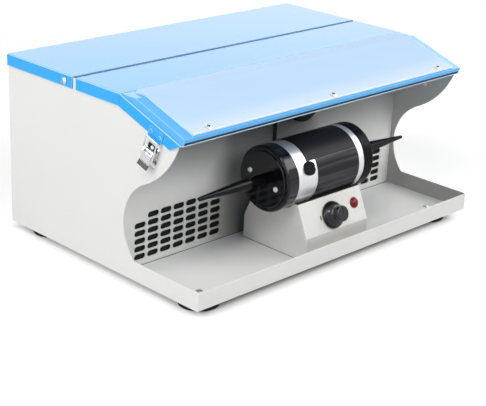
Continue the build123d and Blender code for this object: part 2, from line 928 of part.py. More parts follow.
def make_latch_lever(side):
    """The lever: a plate with a tab bent out at its free end and two cheeks that turn on the pivot pin."""
    tab_rise = tab_length * cos(tab_angle)
    tab_lift = tab_length * sin(tab_angle)
    skin = [
        (0, lever_lift),
        (-lever_low, lever_lift),
        (-lever_low - tab_rise, lever_lift + tab_lift),
        (
            -lever_low - tab_rise + latch_sheet * sin(tab_angle),
            lever_lift + tab_lift + latch_sheet * cos(tab_angle),
        ),
        (-lever_low + latch_sheet * tan(tab_angle / 2), lever_lift + latch_sheet),
        (0, lever_lift + latch_sheet),
    ]
    cheek = [
        (pivot_rise, pivot_lift + cheek_radius),
        (0, lever_lift + latch_sheet),
        (-cheek_low, lever_lift + latch_sheet),
        (-cheek_low, lever_lift - latch_sheet),
        (loop_pivot_rise, loop_lift - 2 * loop_radius),
        (pivot_rise, pivot_lift - cheek_radius),
    ]
    with BuildPart() as lever:
        with BuildSketch(latch_section(side, -lever_width / 2)):
            with BuildLine():
                Polyline(*skin, close=True)
            make_face()
        extrude(amount=lever_width)
        for along in (cheek_inner, -cheek_inner - latch_sheet):
            with BuildSketch(latch_section(side, along)):
                with BuildLine():
                    Polyline(*cheek, close=True)
                make_face()
                with Locations((pivot_rise, pivot_lift)):
                    Circle(cheek_radius)
            extrude(amount=latch_sheet)
        with BuildSketch(latch_section(side, 0)):
            with Locations((pivot_rise, pivot_lift)):
                Circle(latch_pin_radius + running)
            with Locations((loop_pivot_rise, loop_lift)):
                Circle(loop_radius + running)
        extrude(amount=latch_width, both=True, mode=Mode.SUBTRACT)
    return lever


def make_latch_loop(side):
    """The wire loop: two legs and a bar in one bent wire, with ends turned into the lever's cheeks."""
    plane = latch_plane(side, loop_lift)
    end = cheek_inner + fit_gap
    with BuildPart() as loop:
        with BuildLine(plane):
            FilletPolyline(
                (end, loop_pivot_rise),
                (loop_half_width, loop_pivot_rise),
                (loop_half_width, loop_bar_rise),
                (-loop_half_width, loop_bar_rise),
                (-loop_half_width, loop_pivot_rise),
                (-end, loop_pivot_rise),
                radius=loop_corner / 2,
            )
        start = plane.from_local_coords((end, loop_pivot_rise, 0))
        with BuildSketch(Plane(origin=start, x_dir=plane.y_dir, z_dir=plane.x_dir)):
            Circle(loop_radius)
        sweep()
    return loop


def make_keeper(side):
    """The keeper: a plate on the lid's flange, with a lip below for the loop's bar and two rivet dimples."""
    with BuildPart() as keeper:
        with BuildSketch(latch_plane(side, keeper_lift)):
            with Locations((0, (keeper_low + keeper_high) / 2)):
                RectangleRounded(latch_width, keeper_high - keeper_low, loop_corner)
        extrude(amount=latch_sheet)
        with BuildSketch(latch_plane(side, keeper_lift)):
            with Locations((0, keeper_low + latch_sheet / 2)):
                Rectangle(keeper_lip_width, latch_sheet)
        extrude(amount=keeper_reach - keeper_lift)
        with BuildSketch(latch_plane(side, keeper_lift + latch_sheet)):
            with Locations(
                (keeper_dimple_spread, keeper_dimple_rise), (-keeper_dimple_spread, keeper_dimple_rise)
            ):
                Circle(keeper_dimple_radius)
        extrude(amount=keeper_dimple_height, taper=dimple_taper)
    return keeper


for side, side_name in ((-1, "left"), (1, "right")):
    write(make_latch_base(side), f"latch_base_{side_name}")
    write(make_latch_lever(side), f"latch_lever_{side_name}")
    write(make_latch_loop(side), f"latch_loop_{side_name}")
    write(make_keeper(side), f"keeper_{side_name}")

with BuildPart() as latch_pins:
    for side in (-1, 1):
        with BuildSketch(latch_section(side, 0)):
            with Locations((pivot_rise, pivot_lift)):
                Circle(latch_pin_radius)
        extrude(amount=cheek_inner + latch_sheet + cheek_gap, both=True)
write(latch_pins, "latch_pins")

with BuildPart() as latch_rivets:
    for side in (-1, 1):
        for rise in (rivet_low, rivet_high):
            with BuildSketch(latch_plane(side, latch_sheet, rise=rise)):
                Circle(rivet_head_radius)
            extrude(amount=rivet_head_height, taper=rivet_taper)
            with BuildSketch(latch_plane(side, latch_sheet, rise=rise)):
                Circle(rivet_radius)
            extrude(amount=-latch_sheet - side_sheet)
            with BuildSketch(latch_plane(side, -side_sheet, rise=rise)):
                Circle(rivet_head_radius)
            extrude(amount=-rivet_head_height, taper=rivet_taper)
write(latch_rivets, "latch_rivets")

# Motor pedestal: a folded shell with a sloped panel in front, cut to a saddle under the motor
pedestal_outline = [
    (pedestal_front, sheet),
    (pedestal_front, riser_height),
    (pedestal_front + pedestal_lean, pedestal_height),
    (pedestal_rear - pedestal_lean, pedestal_height),
    (pedestal_rear, riser_height),
    (pedestal_rear, sheet),
]
panel_rise = pedestal_height - riser_height
panel_length = hypot(pedestal_lean, panel_rise)


def control_plane(offset=0.0, across=0.0, rise=0.0):
    """A plane on the pedestal's sloped front: x across, y up the slope, z squarely out of it."""
    normal = Vector(0, -panel_rise / panel_length, pedestal_lean / panel_length)
    climb = Vector(0, pedestal_lean / panel_length, panel_rise / panel_length)
    foot = Vector(across, at(pedestal_front), up(riser_height))
    return Plane(origin=foot + normal * offset + climb * rise, x_dir=(1, 0, 0), z_dir=normal)


def motor_plane(x, side=1):
    """A plane square to the motor's axis, this far from the motor's middle, facing right or left."""
    centre = (motor_offset + x, at(motor_depth), up(motor_height))
    return Plane(origin=centre, x_dir=(0, 1, 0), z_dir=(side, 0, 0))


lamp_cable_depth = partition_depth - lamp_cable_radius - soft_gap
with BuildPart() as motor_pedestal:
    with BuildSketch(side_plane(0)):
        with BuildLine():
            Polyline(*placed(pedestal_outline), close=True)
        make_face()
    extrude(amount=pedestal_width / 2, both=True)
    upper_edges = [edge for level in motor_pedestal.edges().group_by(Axis.Z)[1:] for edge in level]
    fillet(upper_edges, pedestal_fold_radius)
    with BuildSketch(side_plane(0)):
        with BuildLine():
            Polyline(*placed(pedestal_outline), close=True)
        make_face()
        offset(amount=-sheet, kind=Kind.INTERSECTION)
        with Locations((at(motor_depth), up(riser_height / 2))):
            Rectangle(pedestal_rear - pedestal_front - 2 * sheet, riser_height - sheet)
    extrude(amount=pedestal_width / 2 - sheet, both=True, mode=Mode.SUBTRACT)
    with BuildSketch(side_plane(0)):
        with Locations((at(motor_depth), up(sheet))):
            Rectangle(pedestal_rear - pedestal_front - 2 * sheet, 2 * sheet)
    extrude(amount=pedestal_width / 2 - sheet, both=True, mode=Mode.SUBTRACT)
    with BuildSketch(motor_plane(0)):
        Circle(motor_radius + saddle_gap)
    extrude(amount=pedestal_width, both=True, mode=Mode.SUBTRACT)
    with BuildSketch(control_plane()):
        with Locations((knob_offset, knob_rise)):
            Circle(bushing_radius + screw_hole_gap)
        with Locations((lens_offset, lens_rise)):
            Circle(indicator_radius + screw_hole_gap)
    extrude(amount=2 * sheet, both=True, mode=Mode.SUBTRACT)
    with BuildSketch(wall_plane(at(pedestal_rear))):
        with Locations((lamp_cable_x, up(lamp_cable_low))):
            Circle(lamp_cable_radius + screw_hole_gap)
    extrude(amount=2 * sheet, both=True, mode=Mode.SUBTRACT)
write(motor_pedestal, "motor_pedestal")

# Cradle that carries the motor inside the pedestal
cradle_top = motor_height - motor_radius - cradle_crown
cradle_shoulder = motor_height - cradle_drop
with BuildPart() as motor_cradle:
    with BuildSketch(side_plane(0)):
        with Locations((at(motor_depth), up((sheet + cradle_shoulder) / 2))):
            Rectangle(cradle_width, cradle_shoulder - sheet)
        with Locations((at(motor_depth), up(motor_height))):
            Circle(motor_radius + running, mode=Mode.SUBTRACT)
        with Locations((at(motor_depth), up((sheet + cradle_wall + cradle_top) / 2))):
            Rectangle(cradle_width - 2 * cradle_wall, cradle_top - sheet - cradle_wall, mode=Mode.SUBTRACT)
    extrude(amount=cradle_length / 2, both=True)
write(motor_cradle, "motor_cradle")

# Motor tube, with two holes for the brush holders
brush_ways = [Vector(0, -cos(brush_angle), sin(brush_angle)), Vector(0, cos(brush_angle), -sin(brush_angle))]


def brush_plane(way, distance):
    """A plane square to one brush, this far from the motor's axis."""
    centre = Vector(motor_offset - brush_offset, at(motor_depth), up(motor_height))
    return Plane(origin=centre + way * distance, x_dir=(1, 0, 0), z_dir=way)


with BuildPart() as motor_tube:
    with BuildSketch(motor_plane(0)):
        Circle(tube_radius)
        Circle(tube_radius - tube_wall, mode=Mode.SUBTRACT)
    extrude(amount=tube_half, both=True)
    for way in brush_ways:
        with BuildSketch(brush_plane(way, 0)):
            Circle(brush_holder_radius + fit_gap)
        extrude(amount=motor_radius + spare, mode=Mode.SUBTRACT)
write(motor_tube, "motor_tube")

# Label band round the tube, cut away round the brush caps
with BuildPart() as motor_label:
    with BuildSketch(motor_plane(-label_left)):
        Circle(motor_radius)
        Circle(tube_radius + fit_gap, mode=Mode.SUBTRACT)
    extrude(amount=label_left + label_right)
    for turn in (-1, 1):
        with BuildSketch(motor_plane(-label_left)):
            notch_across = label_notch_front + motor_radius / 2
            notch_rise = (label_notch_top - motor_radius) / 2
            with Locations((turn * notch_across, -turn * notch_rise)):
                Rectangle(motor_radius, motor_radius + label_notch_top)
        extrude(amount=label_notch, mode=Mode.SUBTRACT)
write(motor_label, "motor_label")


def make_end_cap(side):
    """One end cap: a cup with a rounded rim and a raised face, a bearing pocket and two screw holes."""
    inner = motor_plane(side * tube_half, side)
    with BuildPart() as cap:
        with BuildSketch(inner):
            Circle(motor_radius)
        extrude(amount=cap_length - cap_step)
        fillet(cap.edges().filter_by(GeomType.CIRCLE).sort_by(Axis.X)[-1 if side > 0 else 0], cap_edge)
        with BuildSketch(inner.offset(cap_length - cap_step)):
            Circle(cap_face_radius)
        extrude(amount=cap_step)
        fillet(cap.edges().filter_by(GeomType.CIRCLE).sort_by(Axis.X)[-1 if side > 0 else 0], cap_face_edge)
        with BuildSketch(inner):
            Circle(tube_radius - tube_wall - cap_wall)
            Circle(bearing_radius + cap_wall, mode=Mode.SUBTRACT)
        extrude(amount=cap_length - cap_wall, mode=Mode.SUBTRACT)
        with BuildSketch(inner):
            Circle(bearing_radius + fit_gap)
        extrude(amount=bearing_width, mode=Mode.SUBTRACT)
        with BuildSketch(inner):
            Circle(shaft_radius + shaft_hole_gap)
        extrude(amount=cap_length, mode=Mode.SUBTRACT)
        with BuildSketch(motor_plane(side * tube_half)):
            with PolarLocations(cap_screw_ring_radius, 2, cap_screw_angle):
                Circle(cap_screw_shank + fit_gap)
        extrude(amount=side * cap_length, mode=Mode.SUBTRACT)
    return cap


end_cap_left = make_end_cap(-1)
write(end_cap_left, "end_cap_left")
end_cap_right = make_end_cap(1)
write(end_cap_right, "end_cap_right")

with BuildPart() as end_cap_screws:
    for side in (-1, 1):
        face = motor_plane(side * motor_length / 2)
        with BuildSketch(face):
            with PolarLocations(cap_screw_ring_radius, 2, cap_screw_angle):
                Circle(cap_screw_radius)
        extrude(amount=side * cap_screw_height, taper=cap_screw_taper)
        with BuildSketch(face):
            with PolarLocations(cap_screw_ring_radius, 2, cap_screw_angle):
                Circle(cap_screw_shank)
        extrude(amount=-side * cap_screw_length)
        with BuildSketch(face.offset(side * cap_screw_height)):
            with PolarLocations(cap_screw_ring_radius, 2, cap_screw_angle):
                Rectangle(cap_screw_radius, recess_width)
                Rectangle(recess_width, cap_screw_radius)
        extrude(amount=-side * recess_depth, mode=Mode.SUBTRACT)
write(end_cap_screws, "end_cap_screws")

with BuildPart() as motor_bearings:
    for side in (-1, 1):
        with BuildSketch(motor_plane(side * tube_half)):
            Circle(bearing_radius)
            Circle(shaft_radius + running, mode=Mode.SUBTRACT)
        extrude(amount=side * bearing_width)
write(motor_bearings, "motor_bearings")

# Brush holders with slotted caps, and the carbon brushes in them
brush_inner = commutator_radius + brush_gap
holder_inner = brush_inner + brush_size / 2
with BuildPart() as brush_caps:
    for way in brush_ways:
        with BuildSketch(brush_plane(way, holder_inner)):
            Circle(brush_holder_radius)
        extrude(amount=motor_radius - holder_inner)
        with BuildSketch(brush_plane(way, motor_radius)):
            Circle(brush_cap_radius)
        extrude(amount=brush_cap_reach, taper=brush_cap_taper)
        with BuildSketch(brush_plane(way, holder_inner)):
            Rectangle(brush_size + 2 * running, brush_size + 2 * running)
        extrude(amount=brush_inner + brush_length - holder_inner, mode=Mode.SUBTRACT)
        with BuildSketch(brush_plane(way, motor_radius + brush_cap_reach)):
            Rectangle(brush_cap_radius * 2, brush_slot_width)
        extrude(amount=-brush_slot_depth, mode=Mode.SUBTRACT)
write(brush_caps, "brush_caps")

with BuildPart() as carbon_brushes:
    for way in brush_ways:
        with BuildSketch(brush_plane(way, brush_inner)):
            Rectangle(brush_size, brush_size)
        extrude(amount=brush_length)
write(carbon_brushes, "carbon_brushes")

with BuildPart() as field_magnets:
    with BuildSketch(motor_plane(-magnet_left)):
        Circle(tube_radius - tube_wall - fit_gap)
        Circle(tube_radius - tube_wall - magnet_thickness, mode=Mode.SUBTRACT)
        Rectangle(2 * motor_radius, magnet_split, mode=Mode.SUBTRACT)
    extrude(amount=magnet_left + magnet_right)
write(field_magnets, "field_magnets")

# Turning parts of the motor
shaft_half = motor_length / 2 + spindle_gap + shaft_in_hub
with BuildPart() as motor_shaft:
    with BuildSketch(motor_plane(0)):
        Circle(shaft_radius)
    extrude(amount=shaft_half, both=True)
    chamfer(motor_shaft.edges().filter_by(GeomType.CIRCLE), shaft_chamfer)
write(motor_shaft, "motor_shaft")

with BuildPart() as armature_core:
    with BuildSketch(motor_plane(-armature_left)):
        Circle(armature_radius)
        Circle(shaft_radius + fit_gap, mode=Mode.SUBTRACT)
        with PolarLocations(armature_radius - armature_slot_depth / 2, armature_slots):
            Rectangle(armature_slot_depth + armature_slot_width, armature_slot_width, mode=Mode.SUBTRACT)
    extrude(amount=armature_left + armature_right)
write(armature_core, "armature_core")

with BuildPart() as armature_windings:
    for x, side in ((-armature_left, -1), (armature_right, 1)):
        with BuildSketch(motor_plane(x)):
            Circle(winding_radius)
            Circle(winding_bore, mode=Mode.SUBTRACT)
        extrude(amount=side * winding_length)
    rims = armature_windings.edges().filter_by(GeomType.CIRCLE).sort_by(Axis.X)
    fillet(rims[:2] + rims[-2:], winding_edge)
write(armature_windings, "armature_windings")

with BuildPart() as commutator:
    with BuildSketch(motor_plane(-brush_offset)):
        Circle(commutator_radius)
        Circle(shaft_radius + fit_gap, mode=Mode.SUBTRACT)
        with PolarLocations(commutator_radius, commutator_bars):
            Rectangle(2 * commutator_slit_depth, commutator_slit, mode=Mode.SUBTRACT)
    extrude(amount=commutator_length / 2, both=True)
write(commutator, "commutator")


def make_spindle(side):
    """One tapered spindle: a hub on the motor's shaft and a long cone that ends in a small round tip."""
    start = motor_length / 2 + spindle_gap
    plane = motor_plane(side * start, side)
    reach = spindle_reach - start
    with BuildPart() as spindle:
        with BuildSketch(profile_plane(plane)):
            with BuildLine():
                Polyline(
                    (0, reach - tip_radius),
                    (0, 0),
                    (hub_radius, 0),
                    (hub_radius, hub_length),
                    (taper_radius, hub_length),
                    (tip_radius, reach - tip_radius),
                    close=True,
                )
            make_face()
            with Locations((0, reach - tip_radius)):
                Circle(tip_radius)
            with Locations((-reach, reach / 2)):
                Rectangle(2 * reach, 2 * reach, mode=Mode.SUBTRACT)
        revolve(axis=Axis(plane.origin, plane.z_dir))
        with BuildSketch(plane):
            Circle(shaft_radius + fit_gap)
        extrude(amount=shaft_in_hub, mode=Mode.SUBTRACT)
    return spindle


spindle_left = make_spindle(-1)
write(spindle_left, "spindle_left")
spindle_right = make_spindle(1)
write(spindle_right, "spindle_right")

# Speed knob with the potentiometer behind the panel
knob_plane = control_plane(across=knob_offset, rise=knob_rise)
knob_outline = [
    (0, knob_lift),
    (knob_skirt_radius, knob_lift),
    (knob_skirt_radius, knob_lift + knob_skirt_height),
    (knob_shoulder_radius, knob_shoulder_height),
    (knob_neck_radius, knob_neck_height),
    (knob_grip_radius, knob_neck_height + knob_edge),
    (knob_grip_radius, knob_height - knob_edge),
    (knob_grip_radius - knob_edge, knob_height),
    (0, knob_height),
]
with BuildPart() as speed_knob:
    with BuildSketch(profile_plane(knob_plane)):
        with BuildLine():
            Polyline(*knob_outline[:3])
            RadiusArc(knob_outline[2], knob_outline[3], -knob_skirt_radius)
            Polyline(*knob_outline[3:7])
            RadiusArc(knob_outline[6], knob_outline[7], -knob_edge)
            Polyline(*knob_outline[7:], knob_outline[0])
        make_face()
    revolve(axis=Axis(knob_plane.origin, knob_plane.z_dir))
    with BuildSketch(knob_plane):
        Circle(knob_cavity_radius)
    extrude(amount=knob_cavity_height, mode=Mode.SUBTRACT)
    with BuildSketch(knob_plane):
        Circle(pot_shaft_radius + fit_gap)
    extrude(amount=pot_shaft_height + fit_gap, mode=Mode.SUBTRACT)
    with BuildSketch(knob_plane.offset(knob_height)):
        with Locations((0, knob_grip_radius / 2)):
            Rectangle(pointer_width, knob_grip_radius)
    extrude(amount=-pointer_depth, mode=Mode.SUBTRACT)
write(speed_knob, "speed_knob")

with BuildPart() as potentiometer:
    with BuildSketch(knob_plane.offset(-sheet)):
        Circle(pot_radius)
    extrude(amount=-pot_depth)
    with BuildSketch(knob_plane.offset(-sheet)):
        Circle(bushing_radius)
    extrude(amount=sheet + bushing_height)
    with BuildSketch(knob_plane.offset(bushing_height)):
        Circle(pot_shaft_radius + running)
    extrude(amount=-bushing_height - sheet - pot_depth / 2, mode=Mode.SUBTRACT)
write(potentiometer, "potentiometer")

with BuildPart() as pot_shaft:
    with BuildSketch(knob_plane.offset(-sheet - pot_depth / 2 + running)):
        Circle(pot_shaft_radius)
    extrude(amount=sheet + pot_depth / 2 - running + pot_shaft_height)
write(pot_shaft, "pot_shaft")

with BuildPart() as pot_nut:
    with BuildSketch(knob_plane):
        RegularPolygon(nut_size / 2, 6, major_radius=False)
        Circle(bushing_radius + fit_gap, mode=Mode.SUBTRACT)
    extrude(amount=nut_height)
write(pot_nut, "pot_nut")

# Indicator: red domed lens on the panel, with its body behind
lens_plane = control_plane(across=lens_offset, rise=lens_rise)
with BuildPart() as indicator_lens:
    with BuildSketch(profile_plane(lens_plane)):
        with BuildLine():
            Polyline((0, lens_height), (0, 0), (lens_radius, 0), (lens_radius, lens_rim))
            dome(lens_radius, lens_rim, lens_height)
        make_face()
    revolve(axis=Axis(lens_plane.origin, lens_plane.z_dir))
write(indicator_lens, "indicator_lens")

with BuildPart() as indicator_body:
    with BuildSketch(lens_plane):
        Circle(indicator_radius)
    extrude(amount=-indicator_depth)
    chamfer(indicator_body.edges().filter_by(GeomType.CIRCLE).sort_by(Axis.Y)[-1], indicator_radius / 5)
write(indicator_body, "indicator_body")

# Speed control board on standoffs, beside the cradle
board_x = -(cradle_length / 2 + board_gap + board_width / 2)
board_top = sheet + board_height + board_thickness
with BuildPart() as control_board:
    with BuildSketch(Plane.XY.offset(up(sheet + board_height))):
        with Locations((board_x, at(motor_depth))):
            Rectangle(board_width, board_length)
    extrude(amount=board_thickness)
    with BuildSketch(Plane.XY.offset(up(board_top))):
        with Locations((board_x - board_width / 4, at(motor_depth))):
            Rectangle(sink_width, sink_length)
    extrude(amount=sink_height)
    with BuildSketch(Plane.XY.offset(up(board_top))):
        with Locations((board_x + board_width / 5, at(motor_depth - board_length / 4))):
            Circle(capacitor_radius)
    extrude(amount=capacitor_height)
    with BuildSketch(Plane.XY.offset(up(sheet))):
        with Locations((board_x, at(motor_depth))):
            with GridLocations(board_width - 2 * standoff_inset, board_length - 2 * standoff_inset, 2, 2):
                Circle(standoff_radius)
    extrude(amount=board_height)
write(control_board, "control_board")

# Fans: square frames on the rear panel, each with a bladed rotor
fan_front = depth - sheet - fan_depth


def fan_plane(side, distance):
    """A plane square to one fan's axis, facing the rear."""
    return Plane(origin=(side * fan_spread, at(distance), up(fan_height)), x_dir=(1, 0, 0), z_dir=(0, 1, 0))


with BuildPart() as fan_frames:
    for side in (-1, 1):
        with BuildSketch(fan_plane(side, fan_front)):
            RectangleRounded(fan_size, fan_size, strut_width)
            Circle(fan_bore, mode=Mode.SUBTRACT)
        extrude(amount=fan_depth)
        with BuildSketch(fan_plane(side, depth - sheet)):
            Rectangle(2 * fan_bore + strut_width / 2, strut_width)
            Rectangle(strut_width, 2 * fan_bore + strut_width / 2)
        extrude(amount=-strut_depth)
        with BuildSketch(fan_plane(side, depth - sheet)):
            Circle(fan_hub_radius)
        extrude(amount=-fan_hub_back)
        with BuildSketch(fan_plane(side, depth - sheet - fan_hub_back)):
            Circle(fan_pin_radius + running)
        extrude(amount=fan_pin_length + running, mode=Mode.SUBTRACT)
write(fan_frames, "fan_frames")


def make_fan_rotor(side):
    """One rotor: a hub on a pin, with tilted flat blades."""
    hub_length = fan_depth - rotor_front - rotor_gap - fan_hub_back
    blade_span = fan_bore - blade_tip_gap - fan_hub_radius
    with BuildPart(fan_plane(side, fan_front + rotor_front)) as rotor:
        Cylinder(fan_hub_radius, hub_length, align=(Align.CENTER, Align.CENTER, Align.MIN))
        with Locations((0, 0, hub_length / 2)):
            with PolarLocations(fan_hub_radius + blade_span / 2, blade_count):
                Box(blade_span + blade_thickness, blade_thickness, blade_chord, rotation=(blade_tilt, 0, 0))
        with Locations((0, 0, hub_length)):
            Cylinder(
                fan_pin_radius,
                rotor_gap + fan_pin_length,
                align=(Align.CENTER, Align.CENTER, Align.MIN),
            )
    return rotor


fan_rotor_left = make_fan_rotor(-1)
write(fan_rotor_left, "fan_rotor_left")
fan_rotor_right = make_fan_rotor(1)
write(fan_rotor_right, "fan_rotor_right")


# Power inlet and rocker switch
def rear_plane(height, distance=0.0):
    """A plane on the rear panel's outer face, or this far out of it: x to the left, y up."""
    return Plane(origin=(0, at(depth + distance), up(height)), x_dir=(-1, 0, 0), z_dir=(0, 1, 0))


with BuildPart() as power_inlet:
    with BuildSketch(rear_plane(inlet_height)):
        RectangleRounded(inlet_flange_width, inlet_flange_height, inlet_wall)
    extrude(amount=inlet_flange)
    with BuildSketch(rear_plane(inlet_height)):
        Rectangle(inlet_body_width, inlet_body_height)
    extrude(amount=-inlet_depth)
    with BuildSketch(rear_plane(inlet_height, inlet_flange)):
        RectangleRounded(
            inlet_body_width - 2 * inlet_wall, inlet_body_height - 2 * inlet_wall, 2 * inlet_wall
        )
    extrude(amount=-inlet_cavity, mode=Mode.SUBTRACT)
    with BuildSketch(rear_plane(inlet_height, inlet_flange - inlet_cavity)):
        with Locations((-inlet_pin_spread, 0), (0, inlet_pin_height / 2), (inlet_pin_spread, 0)):
            Rectangle(inlet_pin_width, inlet_pin_height)
    extrude(amount=inlet_pin_length)
write(power_inlet, "power_inlet")

rocker_half_width = switch_width / 2 - switch_wall - rocker_gap
with BuildPart() as switch_frame:
    with BuildSketch(rear_plane(switch_height)):
        RectangleRounded(switch_width, switch_tall, switch_wall / 2)
    extrude(amount=switch_bezel)
    with BuildSketch(rear_plane(switch_height)):
        Rectangle(switch_width - 2 * switch_body_gap, switch_tall - 2 * switch_body_gap)
    extrude(amount=-switch_depth)
    with BuildSketch(rear_plane(switch_height, switch_bezel)):
        Rectangle(switch_width - 2 * switch_wall, switch_tall - 2 * switch_wall)
    extrude(amount=-switch_cavity - switch_bezel, mode=Mode.SUBTRACT)
    with BuildSketch(side_plane(0)):
        with Locations((at(depth), up(switch_height))):
            Circle(trunnion_radius + running)
    extrude(amount=rocker_half_width + rocker_gap + trunnion_length + running, both=True, mode=Mode.SUBTRACT)
write(switch_frame, "switch_frame")

rocker_outline = [
    (-rocker_half + rocker_gap, -rocker_depth),
    (rocker_half - rocker_gap, -rocker_depth),
    (rocker_half, rocker_rise),
    (0, rocker_hollow),
    (-rocker_half, rocker_rise),
]
rocker_plane = Plane(
    origin=(0, at(depth), up(switch_height)),
    x_dir=(0, sin(rocker_tilt), cos(rocker_tilt)),
    z_dir=(-1, 0, 0),
)
with BuildPart() as rocker:
    with BuildSketch(rocker_plane):
        with BuildLine():
            Polyline(*rocker_outline, close=True)
        make_face()
    extrude(amount=rocker_half_width, both=True)
    with BuildSketch(rocker_plane):
        Circle(trunnion_radius)
    extrude(amount=rocker_half_width + rocker_gap + trunnion_length, both=True)
write(rocker, "rocker")

# Lamp under the hood, on the partition, with its cable down to the pedestal
lamp_face = Plane(
    origin=(lamp_offset, at(partition_depth), up(lamp_height)), x_dir=(1, 0, 0), z_dir=(0, -1, 0)
)
with BuildPart() as lamp_housing:
    with BuildSketch(lamp_face):
        Circle(lamp_radius)
    extrude(amount=lamp_depth)
    fillet(lamp_housing.edges().filter_by(GeomType.CIRCLE).sort_by(Axis.Y)[0], lamp_edge)
    with BuildSketch(lamp_face.offset(lamp_depth)):
        Circle(lamp_radius - lamp_bezel)
    extrude(amount=-lamp_recess - lamp_plate, mode=Mode.SUBTRACT)
    with BuildSketch(side_plane(lamp_offset - lamp_radius)):
        with Locations((at(lamp_cable_depth), up(lamp_height))):
            Circle(lamp_cable_radius + screw_hole_gap)
        with Locations((at((lamp_cable_depth + partition_depth) / 2), up(lamp_height))):
            Rectangle(partition_depth - lamp_cable_depth, 2 * (lamp_cable_radius + screw_hole_gap))
    extrude(amount=lamp_notch_depth, mode=Mode.SUBTRACT)
write(lamp_housing, "lamp_housing")

with BuildPart() as lamp_diffuser:
    with BuildSketch(lamp_face.offset(lamp_depth - lamp_recess)):
        Circle(lamp_radius - lamp_bezel - fit_gap)
    extrude(amount=-lamp_plate)
write(lamp_diffuser, "lamp_diffuser")

lamp_side = lamp_offset - lamp_radius + lamp_cable_entry
with BuildPart() as lamp_cable:
    with BuildLine():
        FilletPolyline(
            (lamp_side, at(lamp_cable_depth), up(lamp_height)),
            (lamp_cable_x, at(lamp_cable_depth), up(lamp_height)),
            (lamp_cable_x, at(lamp_cable_depth), up(lamp_cable_low)),
            (lamp_cable_x, at(pedestal_rear - lamp_cable_inside), up(lamp_cable_low)),
            radius=lamp_cable_bend,
        )
    with BuildSketch(
        Plane(origin=(lamp_side, at(lamp_cable_depth), up(lamp_height)), x_dir=(0, 1, 0), z_dir=(-1, 0, 0))
    ):
        Circle(lamp_cable_radius)
    sweep()
write(lamp_cable, "lamp_cable")
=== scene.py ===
"""Looks of a bench-top polishing machine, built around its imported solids."""
from math import cos, pi, radians, sin, tan

import bpy
import numpy as np
from mathutils import Matrix, Vector


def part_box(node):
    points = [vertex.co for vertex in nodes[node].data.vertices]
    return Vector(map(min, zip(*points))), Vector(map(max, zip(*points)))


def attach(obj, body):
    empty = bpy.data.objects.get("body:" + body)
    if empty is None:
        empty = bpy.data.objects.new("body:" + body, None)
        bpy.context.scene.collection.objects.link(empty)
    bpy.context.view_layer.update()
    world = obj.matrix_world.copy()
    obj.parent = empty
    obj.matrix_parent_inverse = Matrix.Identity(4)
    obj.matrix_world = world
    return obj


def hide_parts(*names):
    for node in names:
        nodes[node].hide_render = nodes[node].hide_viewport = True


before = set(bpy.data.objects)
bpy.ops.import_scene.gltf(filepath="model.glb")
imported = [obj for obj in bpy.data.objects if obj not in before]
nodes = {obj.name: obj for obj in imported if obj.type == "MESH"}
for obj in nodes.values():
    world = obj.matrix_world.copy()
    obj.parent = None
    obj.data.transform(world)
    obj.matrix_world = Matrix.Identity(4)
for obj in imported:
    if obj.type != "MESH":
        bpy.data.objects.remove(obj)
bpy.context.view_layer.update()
scene = bpy.context.scene
scene.view_settings.view_transform = "Standard"

# Shared places and directions, from the frame's own front face and underside.
# Sizes are in metres, and those that end in MM in millimetres.

MM = 0.001
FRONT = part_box("base_tray")[0].y
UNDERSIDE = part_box("base_tray")[0].z


def at(depth_mm):
    """Y of a point this many millimetres behind the front face."""
    return FRONT + depth_mm * MM


def up(height_mm):
    """Z of a point this many millimetres above the cabinet's underside."""
    return UNDERSIDE + height_mm * MM


SIDES = ((-1, "left"), (1, "right"))
ACROSS = np.array([1.0, 0, 0])
BACKWARD = np.array([0, 1.0, 0])
UPWARD = np.array([0, 0, 1.0])
LID_SLOPE = radians(18.5)
SLOPE_UP = np.array([0, cos(LID_SLOPE), sin(LID_SLOPE)])
SLOPE_DOWN = np.array([0, sin(LID_SLOPE), -cos(LID_SLOPE)])
PARTITION_FACE = at(130)
REAR_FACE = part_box("rear_panel")[1].y


# Camera

PHOTO_WIDTH = 486
SENSOR = 36.0
FOCAL_PIXELS = 1280.6
CAMERA_PLACE = (-1.0950, -1.0602, 0.6190)
CAMERA_AZIMUTH = radians(-45.876)
CAMERA_ELEVATION = radians(21.242)
CAMERA_ROLL = radians(2.678)


def bearing(azimuth, elevation):
    """Direction from the machine at an azimuth, counted from the front to the right, and an elevation."""
    return Vector((sin(azimuth) * cos(elevation), -cos(azimuth) * cos(elevation), sin(elevation)))


def make_camera():
    """A camera whose back axis has the photograph's azimuth and elevation, turned by its roll."""
    back = bearing(CAMERA_AZIMUTH, CAMERA_ELEVATION)
    right = Vector((cos(CAMERA_AZIMUTH), sin(CAMERA_AZIMUTH), 0))
    above = back.cross(right)
    turned_right = right * cos(CAMERA_ROLL) + above * sin(CAMERA_ROLL)
    turned_above = above * cos(CAMERA_ROLL) - right * sin(CAMERA_ROLL)
    data = bpy.data.cameras.new("camera")
    data.sensor_width = SENSOR
    data.lens = FOCAL_PIXELS / PHOTO_WIDTH * SENSOR
    camera = bpy.data.objects.new("camera", data)
    turn = Matrix((turned_right, turned_above, back)).transposed()
    camera.matrix_world = Matrix.Translation(CAMERA_PLACE) @ turn.to_4x4()
    scene.collection.objects.link(camera)
    scene.camera = camera


make_camera()


# Lamp lead: from the lamp's side down the partition and into the pedestal

LEAD_RADIUS = 0.0022
LEAD_ROUTE = (
    (0.0205, -0.04355, 0.1690),
    (0.0040, -0.04355, 0.1690),
    (0.0040, -0.04355, 0.1525),
    (0.0040, -0.04355, 0.0535),
    (0.0040, -0.04355, 0.0380),
    (0.0040, -0.05905, 0.0380),
)
LEAD_X, LEAD_Y = LEAD_ROUTE[1][:2]
LEAD_ENTRY = LEAD_ROUTE[4][2]


